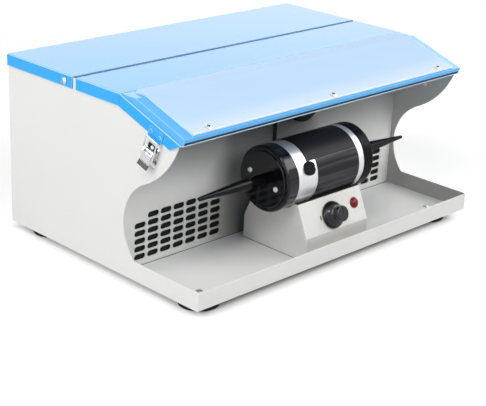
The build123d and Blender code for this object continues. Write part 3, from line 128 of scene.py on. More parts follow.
def make_lead():
    """One open NURBS spline with the route's points as its control points. Its section is round, with a
    bevel of 1 times the radius that each point holds."""
    data = bpy.data.curves.new("lamp_lead", "CURVE")
    data.dimensions = "3D"
    data.bevel_depth = 1.0
    data.bevel_resolution = 5
    data.use_fill_caps = True
    spline = data.splines.new("NURBS")
    spline.points.add(len(LEAD_ROUTE) - 1)
    spline.points.foreach_set("co", np.insert(np.array(LEAD_ROUTE), 3, 1.0, axis=1).ravel())
    spline.points.foreach_set("radius", np.full(len(LEAD_ROUTE), LEAD_RADIUS))
    spline.order_u = 3
    spline.use_endpoint_u = True
    spline.resolution_u = 16
    lead = bpy.data.objects.new("lamp_lead", data)
    scene.collection.objects.link(lead)
    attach(lead, "cabinet")
    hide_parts("lamp_cable")
    return lead


lamp_lead = make_lead()


# Shader maths

class Value:
    """A socket's value in a node tree. Arithmetic on it adds Math nodes."""

    def __init__(self, tree, socket):
        self.tree = tree
        self.socket = socket

    def math(self, operation, *values):
        """A Math node with these values as its inputs."""
        return self.tree.add("ShaderNodeMath", {"operation": operation}, dict(enumerate(values)))

    def __add__(self, other):
        return self.math("ADD", self, other)

    def __sub__(self, other):
        return self.math("SUBTRACT", self, other)

    def __rsub__(self, other):
        return self.math("SUBTRACT", other, self)

    def __mul__(self, other):
        return self.math("MULTIPLY", self, other)

    __radd__ = __add__
    __rmul__ = __mul__

    def larger(self, other):
        """The larger of the two."""
        return self.math("MAXIMUM", self, other)

    def size(self):
        """The value without its sign."""
        return self.math("ABSOLUTE", self)

    def wave(self):
        """The sine of the value, moved into the range from 0 to 1."""
        return self.math("SINE", self) * 0.5 + 0.5

    def above(self, low, high):
        """0 under low, 1 over high and a smooth step between."""
        inputs = {"Value": self, "From Min": low, "From Max": high}
        return self.tree.add("ShaderNodeMapRange", {"interpolation_type": "SMOOTHSTEP"}, inputs)


class NodeTree:
    """The nodes of a material or of the world, added one at a time."""

    def __init__(self, owner):
        owner.use_nodes = True
        self.tree = owner.node_tree
        self.tree.nodes.clear()

    def add(self, kind, settings=None, inputs=None, output=0):
        """Adds a node: its settings first, then the values or links of its sockets."""
        node = self.tree.nodes.new(kind)
        for key, value in (settings or {}).items():
            setattr(node, key, value)
        for key, value in (inputs or {}).items():
            if isinstance(value, Value):
                self.tree.links.new(value.socket, node.inputs[key])
            else:
                node.inputs[key].default_value = value
        return Value(self, node.outputs[output]) if node.outputs else None


class Finish(NodeTree):
    """One procedural material, with helpers that add the nodes it is made of."""

    def __init__(self, name):
        self.material = bpy.data.materials.new(name)
        super().__init__(self.material)
        self.place = self.add("ShaderNodeTexCoord", output="Object")

    def stretched(self, *scale):
        """The place, with each axis scaled."""
        return self.add("ShaderNodeMapping", None, {"Vector": self.place, "Scale": scale})

    def noise(self, scale, detail=2.0, vector=None):
        """Noise from 0 to 1, with a scale in spots per metre."""
        inputs = {"Vector": vector or self.place, "Scale": scale, "Detail": detail}
        return self.add("ShaderNodeTexNoise", None, inputs)

    def axis(self, index):
        """One coordinate of the place, in metres."""
        return self.add("ShaderNodeSeparateXYZ", None, {"Vector": self.place}, index)

    def mix(self, factor, a, b):
        """Colour a, turning into colour b as the factor goes from 0 to 1."""
        return self.add("ShaderNodeMix", {"data_type": "RGBA"}, {0: factor, 6: a, 7: b}, 2)

    def cosine(self, a, b):
        """Cosine of the angle between two directions."""
        return self.add("ShaderNodeVectorMath", {"operation": "DOT_PRODUCT"}, {0: a, 1: b}, "Value")

    def facing(self, *direction):
        """Cosine between the piece's own surface normal and a direction of its own frame."""
        return self.cosine(self.add("ShaderNodeTexCoord", output="Normal"), direction)

    def edges(self, radius):
        """1 along sharp edges, 0 on the open faces."""
        round_normal = self.add("ShaderNodeBevel", {"samples": 6}, {"Radius": radius})
        flat_normal = self.add("ShaderNodeNewGeometry", output="Normal")
        return (1 - self.cosine(round_normal, flat_normal)).above(0.02, 0.25)

    def bump(self, height, strength, distance):
        """A normal tilted by a height that varies over the surface."""
        inputs = {"Height": height, "Strength": strength, "Distance": distance}
        return self.add("ShaderNodeBump", None, inputs)

    def surface(self, varying, fixed=None):
        """Closes the finish with a Principled shader: constants first, then the varying sockets."""
        shader = self.add("ShaderNodeBsdfPrincipled", None, {**(fixed or {}), **varying})
        self.add("ShaderNodeOutputMaterial", None, {"Surface": shader})
        return self.material


def shade(color, factor):
    """A colour with its lightness scaled."""
    return tuple(min(1.0, part * factor) for part in color[:3]) + (1.0,)


# Kinds of finish

WHITE = (1, 1, 1, 1)
WHITE_COAT = (0.76, 0.76, 0.74, 1)
WARM_COAT = (0.765, 0.760, 0.725, 1)
BLUE_PAINT = (0.020, 0.395, 0.90, 1)
# Pale blue that paints a highlight along the enamel's folds
FOLD_HIGHLIGHT = (0.62, 0.86, 1.0, 1)
FILM_BLUE = (0.525, 0.725, 0.98, 1)
FILM_LINT = (0.9, 0.95, 1, 1)
# Near white that paints a glow of light on the pane's front
FILM_GLOW = (0.84, 0.90, 1, 1)
SAWN_ACRYLIC = (0.93, 0.96, 1, 1)
# Grey that paints shade into a coat
PAINTED_SHADE_GREY = (0.19, 0.19, 0.18, 1)
GREY_DUST = (0.35, 0.34, 0.32, 1)


def powder_coat(name, color, roughness=0.42, painted_shade=None):
    """Powder coat: a fine orange peel, faint cloudiness, handling marks and a painted highlight along the
    folds.
    A function of the finish may give where painted shade darkens it."""
    f = Finish(name)
    cloud = f.noise(7, 3)
    rub = f.noise(30, 5, f.stretched(1, 1, 6)).above(0.60, 0.78)
    speck = f.noise(700, 1).above(0.70, 0.78)
    peel = f.noise(620, 1)
    # Painted highlight: the folds are made paler, as if they caught the light
    fold_highlight = f.edges(0.0012)
    base = f.mix(cloud, shade(color, 0.965), shade(color, 1.02))
    base = f.mix(rub * 0.10, base, shade(color, 0.80))
    base = f.mix(speck * 0.12, base, shade(color, 0.55))
    base = f.mix(fold_highlight * 0.35, base, shade(color, 1.15))
    # Painted shade: the coat darkens where the given mask says
    if painted_shade:
        base = f.mix(painted_shade(f), base, PAINTED_SHADE_GREY)
    return f.surface(
        {
            "Base Color": base,
            "Roughness": roughness - 0.06 + cloud * 0.10 + rub * 0.10,
            "Normal": f.bump(peel, 0.10, 0.00025),
        },
        {"IOR": 1.42},
    )


def painted_shade_behind_motor(f):
    """Painted shade on the partition: darkest behind the motor, lighter under the hood."""
    # Painted shade: a mask for the shade of the motor and of the hood
    x = f.axis(0)
    middle = x.above(-0.118, -0.062) * (1 - x.above(0.062, 0.118))
    high = f.axis(2).above(up(77), up(137))
    return (high * 0.58).larger(middle * 0.78)


def painted_shade_on_riser(f):
    """Painted shade on the pedestal's upright front, below its sloped panel."""
    # Painted shade: only the upright front is darkened
    return f.facing(0, -1, 0).above(0.94, 0.98) * 0.20


def inner_face_shade(inward):
    """Painted shade on the face of a side panel that looks into the bay, deeper toward the floor."""
    # Painted shade: this mask darkens the inward face, most near the floor
    def dust(f):
        high = f.axis(2).above(up(22), up(162))
        return f.facing(inward, 0, 0).above(0.5, 0.9) * (0.60 - high * 0.36)
    return dust


def gloss_paint(name, color):
    """Glossy enamel on sheet metal: a soft waviness in the gloss, hairline wipe marks and a painted
    highlight along the folds.
    """
    f = Finish(name)
    cloud = f.noise(5, 2)
    wipe = f.noise(160, 3, f.stretched(0.25, 1, 1)).above(0.56, 0.80)
    peel = f.noise(380, 1)
    # Painted highlight: the folds, and the bends that turn sideways, are mixed toward a pale blue
    sideways = f.facing(1, 0, 0).size()
    fold_highlight = f.edges(0.0014).larger(sideways.above(0.30, 0.50) * (1 - sideways.above(0.75, 0.92)))
    base = f.mix(cloud, shade(color, 0.94), shade(color, 1.03))
    base = f.mix(fold_highlight * 0.72, base, FOLD_HIGHLIGHT)
    return f.surface(
        {
            "Base Color": base,
            "Roughness": 0.20 + wipe * 0.07 + cloud * 0.04,
            "Normal": f.bump(peel, 0.05, 0.00025),
        },
        {"IOR": 1.25, "Coat Weight": 1.0, "Coat Roughness": 0.06, "Coat IOR": 1.25},
    )


def pane_film(name):
    """Acrylic under a protective film: pale blue faces with faint ripples, a painted glow of light that
    whitens them toward the front, and bright sawn edges."""
    f = Finish(name)
    on_slope = f.facing(0, -sin(LID_SLOPE), cos(LID_SLOPE))
    face = on_slope.larger(f.facing(0, 0, 1)).above(0.80, 0.95)
    ripple = f.noise(11, 2, f.stretched(1, 2.5, 2.5))
    lint = f.noise(420, 2).above(0.72, 0.80)
    # Painted highlight: the faces whiten toward the front, as if light glowed there
    front_glow = 1 - f.axis(1).above(at(31), at(62))
    base = f.mix(ripple, shade(FILM_BLUE, 0.96), shade(FILM_BLUE, 1.03))
    base = f.mix(lint * 0.25, base, FILM_LINT)
    base = f.mix(front_glow * 0.45, base, FILM_GLOW)
    base = f.mix(face, SAWN_ACRYLIC, base)
    return f.surface(
        {
            "Base Color": base,
            "Roughness": 0.30 + ripple * 0.12,
            "Normal": f.bump(ripple, 0.06, 0.002),
        },
        {"IOR": 1.12},
    )


def plated(name, color, roughness=0.18, grain=(1, 1, 1), metallic=1.0):
    """Plated or bare metal: directional grain, smudges and brighter worn edges."""
    f = Finish(name)
    brush = f.noise(900, 3, f.stretched(*grain))
    smudge = f.noise(60, 4).above(0.45, 0.75)
    worn = f.edges(0.0005)
    base = f.mix(brush, shade(color, 0.86), shade(color, 1.06))
    base = f.mix(smudge * 0.18, base, shade(color, 0.72))
    base = f.mix(worn * 0.4, base, shade(color, 1.25))
    return f.surface(
        {
            "Base Color": base,
            "Roughness": roughness - 0.05 + brush * 0.12 + smudge * 0.10,
            "Normal": f.bump(brush, 0.08, 0.0001),
        },
        {"Metallic": metallic},
    )


def moulded(name, color, roughness=0.35, texture=500, depth=0.0002, coat=0.0, ior=1.48):
    """Moulded plastic or black enamel: fine grain, dust in the grain and slightly polished edges."""
    f = Finish(name)
    grain = f.noise(texture, 2)
    cloud = f.noise(40, 4)
    dust = f.noise(260, 5).above(0.60, 0.80)
    rim = f.edges(0.0006)
    base = f.mix(cloud, shade(color, 0.8), shade(color, 1.25))
    base = f.mix(dust * 0.06, base, GREY_DUST)
    base = f.mix(rim * 0.12, base, shade(color, 3.0))
    return f.surface(
        {
            "Base Color": base,
            "Roughness": roughness - 0.05 + cloud * 0.10 + dust * 0.08,
            "Normal": f.bump(grain, 0.10, depth),
        },
        {"IOR": ior, "Coat Weight": coat, "Coat Roughness": 0.08, "Coat IOR": ior},
    )


def banded(name, color, axis, pitch, roughness, metallic, contrast=0.5):
    """Fine parallel bands along one axis, such as laminations, wound wire or the rings of a turned part."""
    f = Finish(name)
    ripple = (f.axis(axis) * (2 * pi / pitch)).wave()
    cloud = f.noise(90, 4)
    base = f.mix(ripple, shade(color, 1 - contrast), shade(color, 1.05))
    base = f.mix(cloud * 0.3, base, shade(color, 0.6))
    return f.surface(
        {
            "Base Color": base,
            "Roughness": roughness + cloud * 0.12,
            "Normal": f.bump(ripple, 0.35, pitch * 0.3),
        },
        {"Metallic": metallic},
    )


def lens_red(name):
    """Dark red moulded lens: tiny facets and clouds in the colour, under a thin gloss."""
    f = Finish(name)
    cells = f.add("ShaderNodeTexVoronoi", None, {"Vector": f.place, "Scale": 620.0})
    cloud = f.noise(140, 3)
    base = f.mix(cells * 0.6 + cloud * 0.4, (0.06, 0.001, 0.003, 1), (0.33, 0.006, 0.014, 1))
    return f.surface(
        {
            "Base Color": base,
            "Roughness": 0.14 + cloud * 0.1,
            "Normal": f.bump(cells, 0.12, 0.0004),
        },
        {"IOR": 1.25, "Coat Weight": 0.5, "Coat Roughness": 0.05, "Coat IOR": 1.3},
    )


def fibre(name, color):
    """Felted fibre: a tangle of fine threads in the colour and the bump, grey where dust has settled."""
    f = Finish(name)
    strands = f.noise(900, 6, f.stretched(1, 1, 0.35))
    tangle = f.noise(300, 6)
    dust = f.noise(25, 4).above(0.40, 0.75)
    base = f.mix(strands, shade(color, 0.7), color)
    base = f.mix(dust * 0.30, base, shade(color, 2.2))
    return f.surface(
        {"Base Color": base, "Roughness": 0.85 + tangle * 0.1, "Normal": f.bump(tangle, 0.7, 0.0008)},
        {"Sheen Weight": 0.08, "IOR": 1.3},
    )


def smoked(name):
    """Smoked diffuser: dark plastic with a stippled face and a thin film of dust."""
    f = Finish(name)
    stipple = f.noise(700, 2)
    cloud = f.noise(30, 3)
    base = f.mix(cloud, (0.020, 0.020, 0.020, 1), (0.045, 0.044, 0.042, 1))
    return f.surface(
        {"Base Color": base, "Roughness": 0.3 + stipple * 0.15, "Normal": f.bump(stipple, 0.2, 0.0003)}
    )


def printed_band(name, height):
    """Label band: black above a height and near black below it, with painted streaks of reflection in dark
    grey there, and a thin pale rule between.
    """
    f = Finish(name)
    z = f.axis(2)
    upper = z.above(height - 0.0003, height + 0.0003)
    rule = z.above(height - 0.0007, height - 0.0004) * (1 - upper)
    grain = f.noise(900, 3, f.stretched(0.2, 1, 1))
    cloud = f.noise(30, 4)
    # Painted reflection: dark grey streaks below the rule stand for reflected light
    reflection_streak = f.noise(170, 2, f.stretched(0.03, 1, 1)).above(0.42, 0.66)
    base = f.mix(reflection_streak, (0.008, 0.008, 0.011, 1), (0.044, 0.044, 0.054, 1))
    base = f.mix(upper, base, (0.004, 0.004, 0.005, 1))
    base = f.mix(rule * 0.4, base, (0.16, 0.16, 0.18, 1))
    return f.surface(
        {
            "Base Color": base,
            "Roughness": 0.26 + upper * 0.14 + cloud * 0.08,
            "Normal": f.bump(grain, 0.06, 0.0001),
        },
        {"IOR": 1.30},
    )


def laminate(name):
    """Circuit laminate: green lacquer with paler copper tracks under it."""
    f = Finish(name)
    flat = f.stretched(1, 1, 0)
    tracks = f.add("ShaderNodeTexBrick", None, {"Vector": flat, "Scale": 90.0, "Mortar Size": 0.06}, 1)
    cloud = f.noise(200, 3)
    base = f.mix(tracks * 0.6, (0.012, 0.10, 0.045, 1), (0.05, 0.24, 0.10, 1))
    base = f.mix(cloud * 0.2, base, (0.01, 0.06, 0.03, 1))
    return f.surface(
        {"Base Color": base, "Roughness": 0.3 + cloud * 0.15, "Normal": f.bump(tracks, 0.3, 0.0002)}
    )


# Finishes of the machine

MOTOR_HEIGHT_MM = 95.7
RULE_ABOVE_MOTOR_MM = 23.0

white_coat = powder_coat("white_powder_coat", WHITE_COAT)
partition_coat = powder_coat("partition_powder_coat", WHITE_COAT, roughness=0.50, painted_shade=painted_shade_behind_motor)
pedestal_coat = powder_coat("pedestal_powder_coat", WARM_COAT, painted_shade=painted_shade_on_riser)
left_coat = powder_coat("left_powder_coat", WHITE_COAT, painted_shade=inner_face_shade(1))
right_coat = powder_coat("right_powder_coat", WHITE_COAT, painted_shade=inner_face_shade(-1))

blue_paint = gloss_paint("blue_enamel", BLUE_PAINT)
visor_paint = gloss_paint("visor_enamel", (0.10, 0.47, 0.93, 1))
# Painted highlight: a paler copy of the blue enamel for the lid's front bead
highlight_blue = gloss_paint("highlight_blue_edge", (0.55, 0.80, 1.0, 1))
film = pane_film("pane_film")

zinc = plated("zinc_plate", (0.70, 0.70, 0.69, 1), roughness=0.26)
bright_zinc = plated("bright_zinc", (0.94, 0.94, 0.93, 1), roughness=0.45, metallic=0.35)
nickel = plated("nickel_plate", (0.80, 0.80, 0.81, 1), grain=(1, 0.3, 1))
drawn_steel = plated("drawn_steel", (0.52, 0.53, 0.55, 1), roughness=0.32, grain=(0.1, 1, 1))
turned_aluminium = plated("turned_aluminium", (0.85, 0.85, 0.87, 1), roughness=0.36, grain=(1, 0.05, 0.05))

black_enamel = moulded(
    "black_enamel", (0.003, 0.003, 0.005, 1), roughness=0.13, texture=420, depth=0.00003, coat=0.5, ior=1.32,
)
dull_enamel = moulded(
    "dull_enamel", (0.004, 0.004, 0.005, 1), roughness=0.30, texture=420, depth=0.0001, ior=1.17,
)
black_oxide = moulded(
    "black_oxide", (0.003, 0.003, 0.0035, 1), roughness=0.20, texture=700, depth=0.00006, ior=1.25,
)
knob_plastic = moulded(
    "knob_plastic", (0.005, 0.005, 0.007, 1), roughness=0.24, texture=600, depth=0.00005, coat=0.3, ior=1.42,
)
lamp_black = moulded("lamp_black", (0.006, 0.006, 0.006, 1), roughness=0.50, texture=900, ior=1.3)
matt_plastic = moulded("matt_plastic", (0.022, 0.022, 0.023, 1), roughness=0.55, texture=900, depth=0.0003)
rubber = moulded("rubber", (0.007, 0.007, 0.007, 1), roughness=0.70, texture=350, depth=0.0004, ior=1.3)
# Navy that paints the shade in the slit under the visor's front flange
navy_slit_shade = moulded("navy_slit_shade", (0.004, 0.010, 0.035, 1), roughness=0.60, depth=0.0001)
cable_sheath = moulded("cable_sheath", (0.012, 0.012, 0.012, 1), roughness=0.50)
sleeve_grey = moulded("sleeve_grey", (0.055, 0.055, 0.060, 1), roughness=0.45, texture=600)
carbon = moulded("pressed_carbon", (0.03, 0.03, 0.032, 1), roughness=0.65, texture=1200, depth=0.0003)
casting = moulded("bare_casting", (0.16, 0.16, 0.165, 1), roughness=0.70, texture=260, depth=0.0009)
film_edge = moulded("film_edge", (0.52, 0.74, 0.98, 1), roughness=0.40, depth=0.0001)
sawn_edge = moulded("sawn_edge", (0.93, 0.97, 1.0, 1), roughness=0.40, depth=0.0001)
# Painted shade: the hinge leaves take a dark navy, a shaded copy of the blue enamel, so the hinge groove
# reads dark
hinge_shade_navy = moulded("hinge_shade_navy", (0.010, 0.060, 0.170, 1), depth=0.0001)
seam_blue = moulded("seam_blue", (0.012, 0.21, 0.62, 1), depth=0.0001)
seam_grey = moulded("seam_grey", (0.10, 0.10, 0.10, 1), roughness=0.60, depth=0.0001)

copper_wire = banded(
    "copper_wire", (0.62, 0.26, 0.10, 1), axis=1, pitch=0.0011, roughness=0.35, metallic=0.9,
)
copper_bars = banded(
    "copper_bars", (0.70, 0.34, 0.17, 1), axis=0, pitch=0.0009, roughness=0.28, metallic=1.0, contrast=0.2,
)
laminations = banded(
    "laminations", (0.42, 0.42, 0.43, 1), axis=0, pitch=0.0007, roughness=0.42, metallic=1.0, contrast=0.35,
)
label_film = printed_band("label_film", up(MOTOR_HEIGHT_MM + RULE_ABOVE_MOTOR_MM))
red_lens = lens_red("red_lens")
filter_fibre = fibre("filter_fibre", (0.008, 0.008, 0.009, 1))
diffuser = smoked("smoked_diffuser")
green_board = laminate("green_laminate")

FINISHES = {
    white_coat: "base_tray rear_panel",
    pedestal_coat: "motor_pedestal",
    partition_coat: "partition",
    left_coat: "side_panel_left",
    right_coat: "side_panel_right",
    blue_paint: "rear_cover lid keeper_left keeper_right",
    visor_paint: "visor_frame",
    hinge_shade_navy: "hinge_leaf_rear hinge_leaf_lid",
    film: "visor_pane",
    zinc: "cover_screws visor_screws foot_screws pot_nut",
    bright_zinc: "end_cap_screws latch_rivets",
    nickel: "latch_base_left latch_base_right latch_pins latch_lever_left latch_lever_right"
            " latch_loop_left latch_loop_right",
    drawn_steel: "hinge_pin motor_shaft motor_bearings potentiometer pot_shaft",
    turned_aluminium: "motor_tube",
    black_enamel: "end_cap_left",
    dull_enamel: "end_cap_right",
    label_film: "motor_label",
    black_oxide: "spindle_left spindle_right brush_caps",
    knob_plastic: "speed_knob",
    matt_plastic: "indicator_body fan_frames fan_rotor_left fan_rotor_right power_inlet switch_frame"
                  " rocker",
    lamp_black: "lamp_housing",
    rubber: "feet",
    cable_sheath: "lamp_cable",
    carbon: "carbon_brushes",
    casting: "motor_cradle",
    copper_wire: "armature_windings",
    copper_bars: "commutator",
    laminations: "armature_core field_magnets",
    red_lens: "indicator_lens",
    filter_fibre: "filter_pads",
    diffuser: "lamp_diffuser",
    green_board: "control_board",
}
for material, names in FINISHES.items():
    for name in names.split():
        nodes[name].data.materials.clear()
        nodes[name].data.materials.append(material)
lamp_lead.data.materials.append(cable_sheath)


# Shapes

FOLD_ANGLE = radians(32)
ASKEW = (0.31, 0.17, 0.93)


def unit(vector):
    """A vector scaled to length one."""
    vector = np.asarray(vector, float)
    return vector / np.linalg.norm(vector)


def lofted(rings, closed=False):
    """Points and faces of a skin over rings of equal count: quads between neighbours, with both ends
    capped or the last ring joined to the first."""
    rings = np.asarray(rings, float)
    corner = np.arange(rings.shape[0] * rings.shape[1]).reshape(rings.shape[:2])
    first = corner if closed else corner[:-1]
    last = np.roll(corner, -1, 0) if closed else corner[1:]
    quads = np.stack([first, np.roll(first, -1, 1), np.roll(last, -1, 1), last], -1)
    caps = [] if closed else [corner[0, ::-1].tolist(), corner[-1].tolist()]
    return rings.reshape(-1, 3), quads.reshape(-1, 4).tolist() + caps


def bent(profile, places, across, outs):
    """A closed profile (u, v) carried through several places: place + u * across + v * that place's out."""
    profile = np.asarray(profile, float)
    flat = profile[:, :1] * np.asarray(across, float)
    return lofted([place + (flat + profile[:, 1:] * out) for place, out in zip(places, outs)])


def swept(profile, start, end, across, out):
    """A closed profile (u, v) carried straight from start to end: place + u * across + v * out."""
    return bent(profile, (start, end), across, (out, out))


def crossing(profile, middle, half, across, out):
    """A closed profile swept from left to right, half a width to each side of a middle point."""
    return swept(profile, middle - ACROSS * half, middle + ACROSS * half, across, out)


def turned(profile, place, axis, around=32, closed=False):
    """A profile (radius r, height h) turned about an axis: place + h * axis + r * (cos t * side + sin t *
    front), with t going once round."""
    axis = unit(axis)
    side = unit(np.cross(axis, ASKEW))
    front = np.cross(axis, side)
    turn = np.linspace(0, 2 * pi, around, endpoint=False)
    circle = np.cos(turn)[:, None] * side + np.sin(turn)[:, None] * front
    profile = np.asarray(profile, float)
    rings = np.asarray(place, float) + profile[:, None, 1:] * axis + profile[:, None, :1] * circle
    return lofted(rings, closed)


def rounded(width, height, radius, steps=5):
    """A rectangle with round corners, counter-clockwise: a quarter circle about each corner's centre."""
    turn = np.linspace(0, pi / 2, steps)
    quarter = radius * np.stack([np.cos(turn), np.sin(turn)], 1)
    corners = []
    for k, (right, above) in enumerate(((1, 1), (-1, 1), (-1, -1), (1, -1))):
        c, n = cos(k * pi / 2), sin(k * pi / 2)
        middle = np.array([right * (width / 2 - radius), above * (height / 2 - radius)])
        corners.append(middle + quarter @ np.array([[c, n], [-n, c]]))
    return np.concatenate(corners)


def joined(shapes):
    """Several shapes as one: points stacked, face numbers shifted."""
    points, faces, shift = [], [], 0
    for shape_points, shape_faces in shapes:
        points.append(shape_points)
        faces.extend([corner + shift for corner in face] for face in shape_faces)
        shift += len(shape_points)
    return np.concatenate(points), faces


def add_piece(name, shape, finish, body):
    """A mesh piece in the machine's frame, with smooth faces and sharp folds, riding on a body."""
    points, faces = shape
    mesh = bpy.data.meshes.new(name)
    mesh.from_pydata(points.tolist(), [], faces)
    mesh.polygons.foreach_set("use_smooth", np.ones(len(faces), bool))
    mesh.set_sharp_from_angle(angle=FOLD_ANGLE)
    mesh.materials.append(finish)
    made = bpy.data.objects.new(name, mesh)
    scene.collection.objects.link(made)
    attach(made, body)
    return made


# Filter mats behind the grilles

MAT_SPLIT = 0.0769
MAT_COLUMNS, MAT_ROWS = 81, 45
MAT_REACH = 0.995


def felt_mat(low, high):
    """A felt mat between two corners, with u along it and v up it, both from -1 to 1. Its half thickness
    is T * ((1 - u^8) (1 - v^8)) ^ (1/4), its sides draw in a little between the corners, and products of
    sine waves, broad and fine, make both skins lumpy."""
    low, high = np.asarray(low), np.asarray(high)
    middle, half = (low + high) / 2, (high - low) / 2
    run = np.linspace(-1, 1, MAT_COLUMNS)
    u = np.concatenate([run, run[-2:0:-1]])[None, :]
    v = np.linspace(-MAT_REACH, MAT_REACH, MAT_ROWS)[:, None]
    skin = np.concatenate([-np.ones(MAT_COLUMNS), np.ones(MAT_COLUMNS - 2)])[None, :]
    broad = np.sin(17 * u + 3 * v) * np.sin(13 * v - 2 * u)
    fine = np.sin(41 * u - 5 * v) * np.sin(37 * v + skin)
    lumps = broad + 0.6 * fine
    thick = half[1] * ((1 - u**8) * (1 - v**8)) ** 0.25 * (0.93 + 0.035 * lumps)
    x = middle[0] + half[0] * u * (1 - 0.012 * u**6 * (1 - v**2))
    y = middle[1] + skin * thick
    z = middle[2] + half[2] * v * (1 - 0.02 * v**6 * (1 - u**2))
    return lofted(np.stack(np.broadcast_arrays(x, y, z), -1))


mat_low, mat_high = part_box("filter_pads")
filter_mats = add_piece(
    "filter_mats",
    joined([
        felt_mat(mat_low, (-MAT_SPLIT, mat_high.y, mat_high.z)),
        felt_mat((MAT_SPLIT, mat_low.y, mat_low.z), mat_high),
    ]),
    filter_fibre, "cabinet",
)
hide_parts("filter_pads")


# Visor slit shade and lid bead, along the slit under the visor's front flange: a navy strip of painted shade
# fills the slit, and the bead's pale blue is a painted highlight

LID_TOP_MM = 212
SLOPE_RUN_MM = 77.7
NOSE_DEPTH_MM = 28.8
VISOR_HALF = 0.2391
VISOR_RAISE = 0.007774
VISOR_NOSE = np.array([0, at(NOSE_DEPTH_MM), up(LID_TOP_MM - SLOPE_RUN_MM * tan(LID_SLOPE))])
SLIT_SHADE = rounded(width=0.0028, height=0.0030, radius=0.0005)
SLIT_SHADE_ABOVE_LID = 0.00155
SLIT_SHADE_SETBACK = 0.0011
SLIT_SHADE_END_GAP = 0.0016
BEAD = rounded(width=0.0012, height=0.0013, radius=0.00055)
BEAD_BELOW = 0.00078
BEAD_SETBACK = 0.0003

# Painted shade: a navy strip fills the slit, for the dark gap under the visor's flange
slit_shade_middle = VISOR_NOSE + SLOPE_DOWN * (VISOR_RAISE - SLIT_SHADE_ABOVE_LID) + SLOPE_UP * SLIT_SHADE_SETBACK
add_piece(
    "visor_slit_shade",
    crossing(SLIT_SHADE, slit_shade_middle, VISOR_HALF - SLIT_SHADE_END_GAP, SLOPE_UP, -SLOPE_DOWN),
    navy_slit_shade, "lid",
)
bead_middle = VISOR_NOSE + SLOPE_DOWN * (VISOR_RAISE + BEAD_BELOW) + SLOPE_UP * BEAD_SETBACK
# Painted highlight: the bead's paler blue stands for light caught on the lid's front edge
add_piece(
    "lid_bead",
    crossing(BEAD, bead_middle, VISOR_HALF, SLOPE_UP, -SLOPE_DOWN),
    highlight_blue, "lid",
)


# Pane edging: a white strip along the pane's front and pale blue ones along its sides, bent as it bends

PANE_HALF = 0.2251
PANE_FRONT = 0.004
PANE_REAR = at(119)
SLOPE_LENGTH = SLOPE_RUN_MM * MM / cos(LID_SLOPE)
EDGING = rounded(width=0.0013, height=0.0022, radius=0.0004)
EDGING_LIFT = 0.0011
EDGING_OFFSET = 0.0006
BEND_OUT = (UPWARD - SLOPE_DOWN) / (1 + cos(LID_SLOPE))

edging_outs = (UPWARD, BEND_OUT, -SLOPE_DOWN)
edging_stops = (
    np.array([0, PANE_REAR, up(LID_TOP_MM)]),
    VISOR_NOSE + SLOPE_UP * SLOPE_LENGTH,
    VISOR_NOSE + SLOPE_UP * (PANE_FRONT - 2 * EDGING_OFFSET),
)
side_edgings = []
for side, _ in SIDES:
    edge = ACROSS * side * (PANE_HALF + EDGING_OFFSET)
    places = [edge + stop + out * EDGING_LIFT for stop, out in zip(edging_stops, edging_outs)]
    side_edgings.append(bent(EDGING, places, ACROSS, edging_outs))
add_piece("pane_side_edging", joined(side_edgings), film_edge, "lid")
front_middle = VISOR_NOSE + SLOPE_UP * (PANE_FRONT - EDGING_OFFSET) - SLOPE_DOWN * EDGING_LIFT
add_piece(
    "pane_front_edging",
    crossing(EDGING, front_middle, PANE_HALF, SLOPE_UP, -SLOPE_DOWN),
    sawn_edge, "lid",
)


# Saddle shade strip: painted shade, a strip in the black rubber finish on the ledge between the pedestal's
# slope and the motor, where the motor's belly shades it

SADDLE_FRONT, SADDLE_REAR = at(31.2), at(35.5)
SADDLE_HEIGHT = up(68.45)
SADDLE_HALF = 0.0545
SADDLE = rounded(width=SADDLE_REAR - SADDLE_FRONT, height=0.0009, radius=0.0004)

# Painted shade: a dark strip for the shade under the motor's belly
saddle_middle = np.array([0, (SADDLE_FRONT + SADDLE_REAR) / 2, SADDLE_HEIGHT])
add_piece(
    "saddle_shade_strip",
    crossing(SADDLE, saddle_middle, SADDLE_HALF, BACKWARD, UPWARD),
    rubber, "cabinet",
)


# Foot shade: painted contact shade, dark strips along the joints between the pedestal's sides and the tray

JOINT_HEIGHT = up(1.35)
FOOT_SHADE = rounded(width=0.0009, height=0.0005, radius=0.0002)
FOOT_SHADE_X = 0.0552
FOOT_SHADE_FRONT, FOOT_SHADE_REAR = at(14.5), at(116.5)

for side, name in SIDES:
    foot_front = np.array([side * FOOT_SHADE_X, FOOT_SHADE_FRONT, JOINT_HEIGHT])
    foot_rear = np.array([side * FOOT_SHADE_X, FOOT_SHADE_REAR, JOINT_HEIGHT])
    # Painted shade: a dark strip for the contact shade at the pedestal's foot
    add_piece(
        "foot_shade_" + name,
        swept(FOOT_SHADE, foot_front, foot_rear, -ACROSS, UPWARD),
        seam_grey, "cabinet",
    )


# Partition seam: the joint between the partition's foot and the tray

PARTITION_HALF = 0.2380
PARTITION_SEAM = rounded(width=0.0010, height=0.0006, radius=0.0002)
SEAM_OFFSET = 0.0005

add_piece(
    "partition_seam",
    crossing(
        PARTITION_SEAM, np.array([0, PARTITION_FACE - SEAM_OFFSET, JOINT_HEIGHT]), PARTITION_HALF,
        BACKWARD, UPWARD,
    ),
    seam_grey, "cabinet",
)


# Lid seams: filled joints in the side flanges where the lid bends

LID_SEAM = rounded(width=0.0008, height=0.0004, radius=0.00015)
LID_SEAM_X = 0.2416
LID_SEAM_DEPTH = at(131)
LID_SEAM_LOW, LID_SEAM_TOP = up(199), up(210)

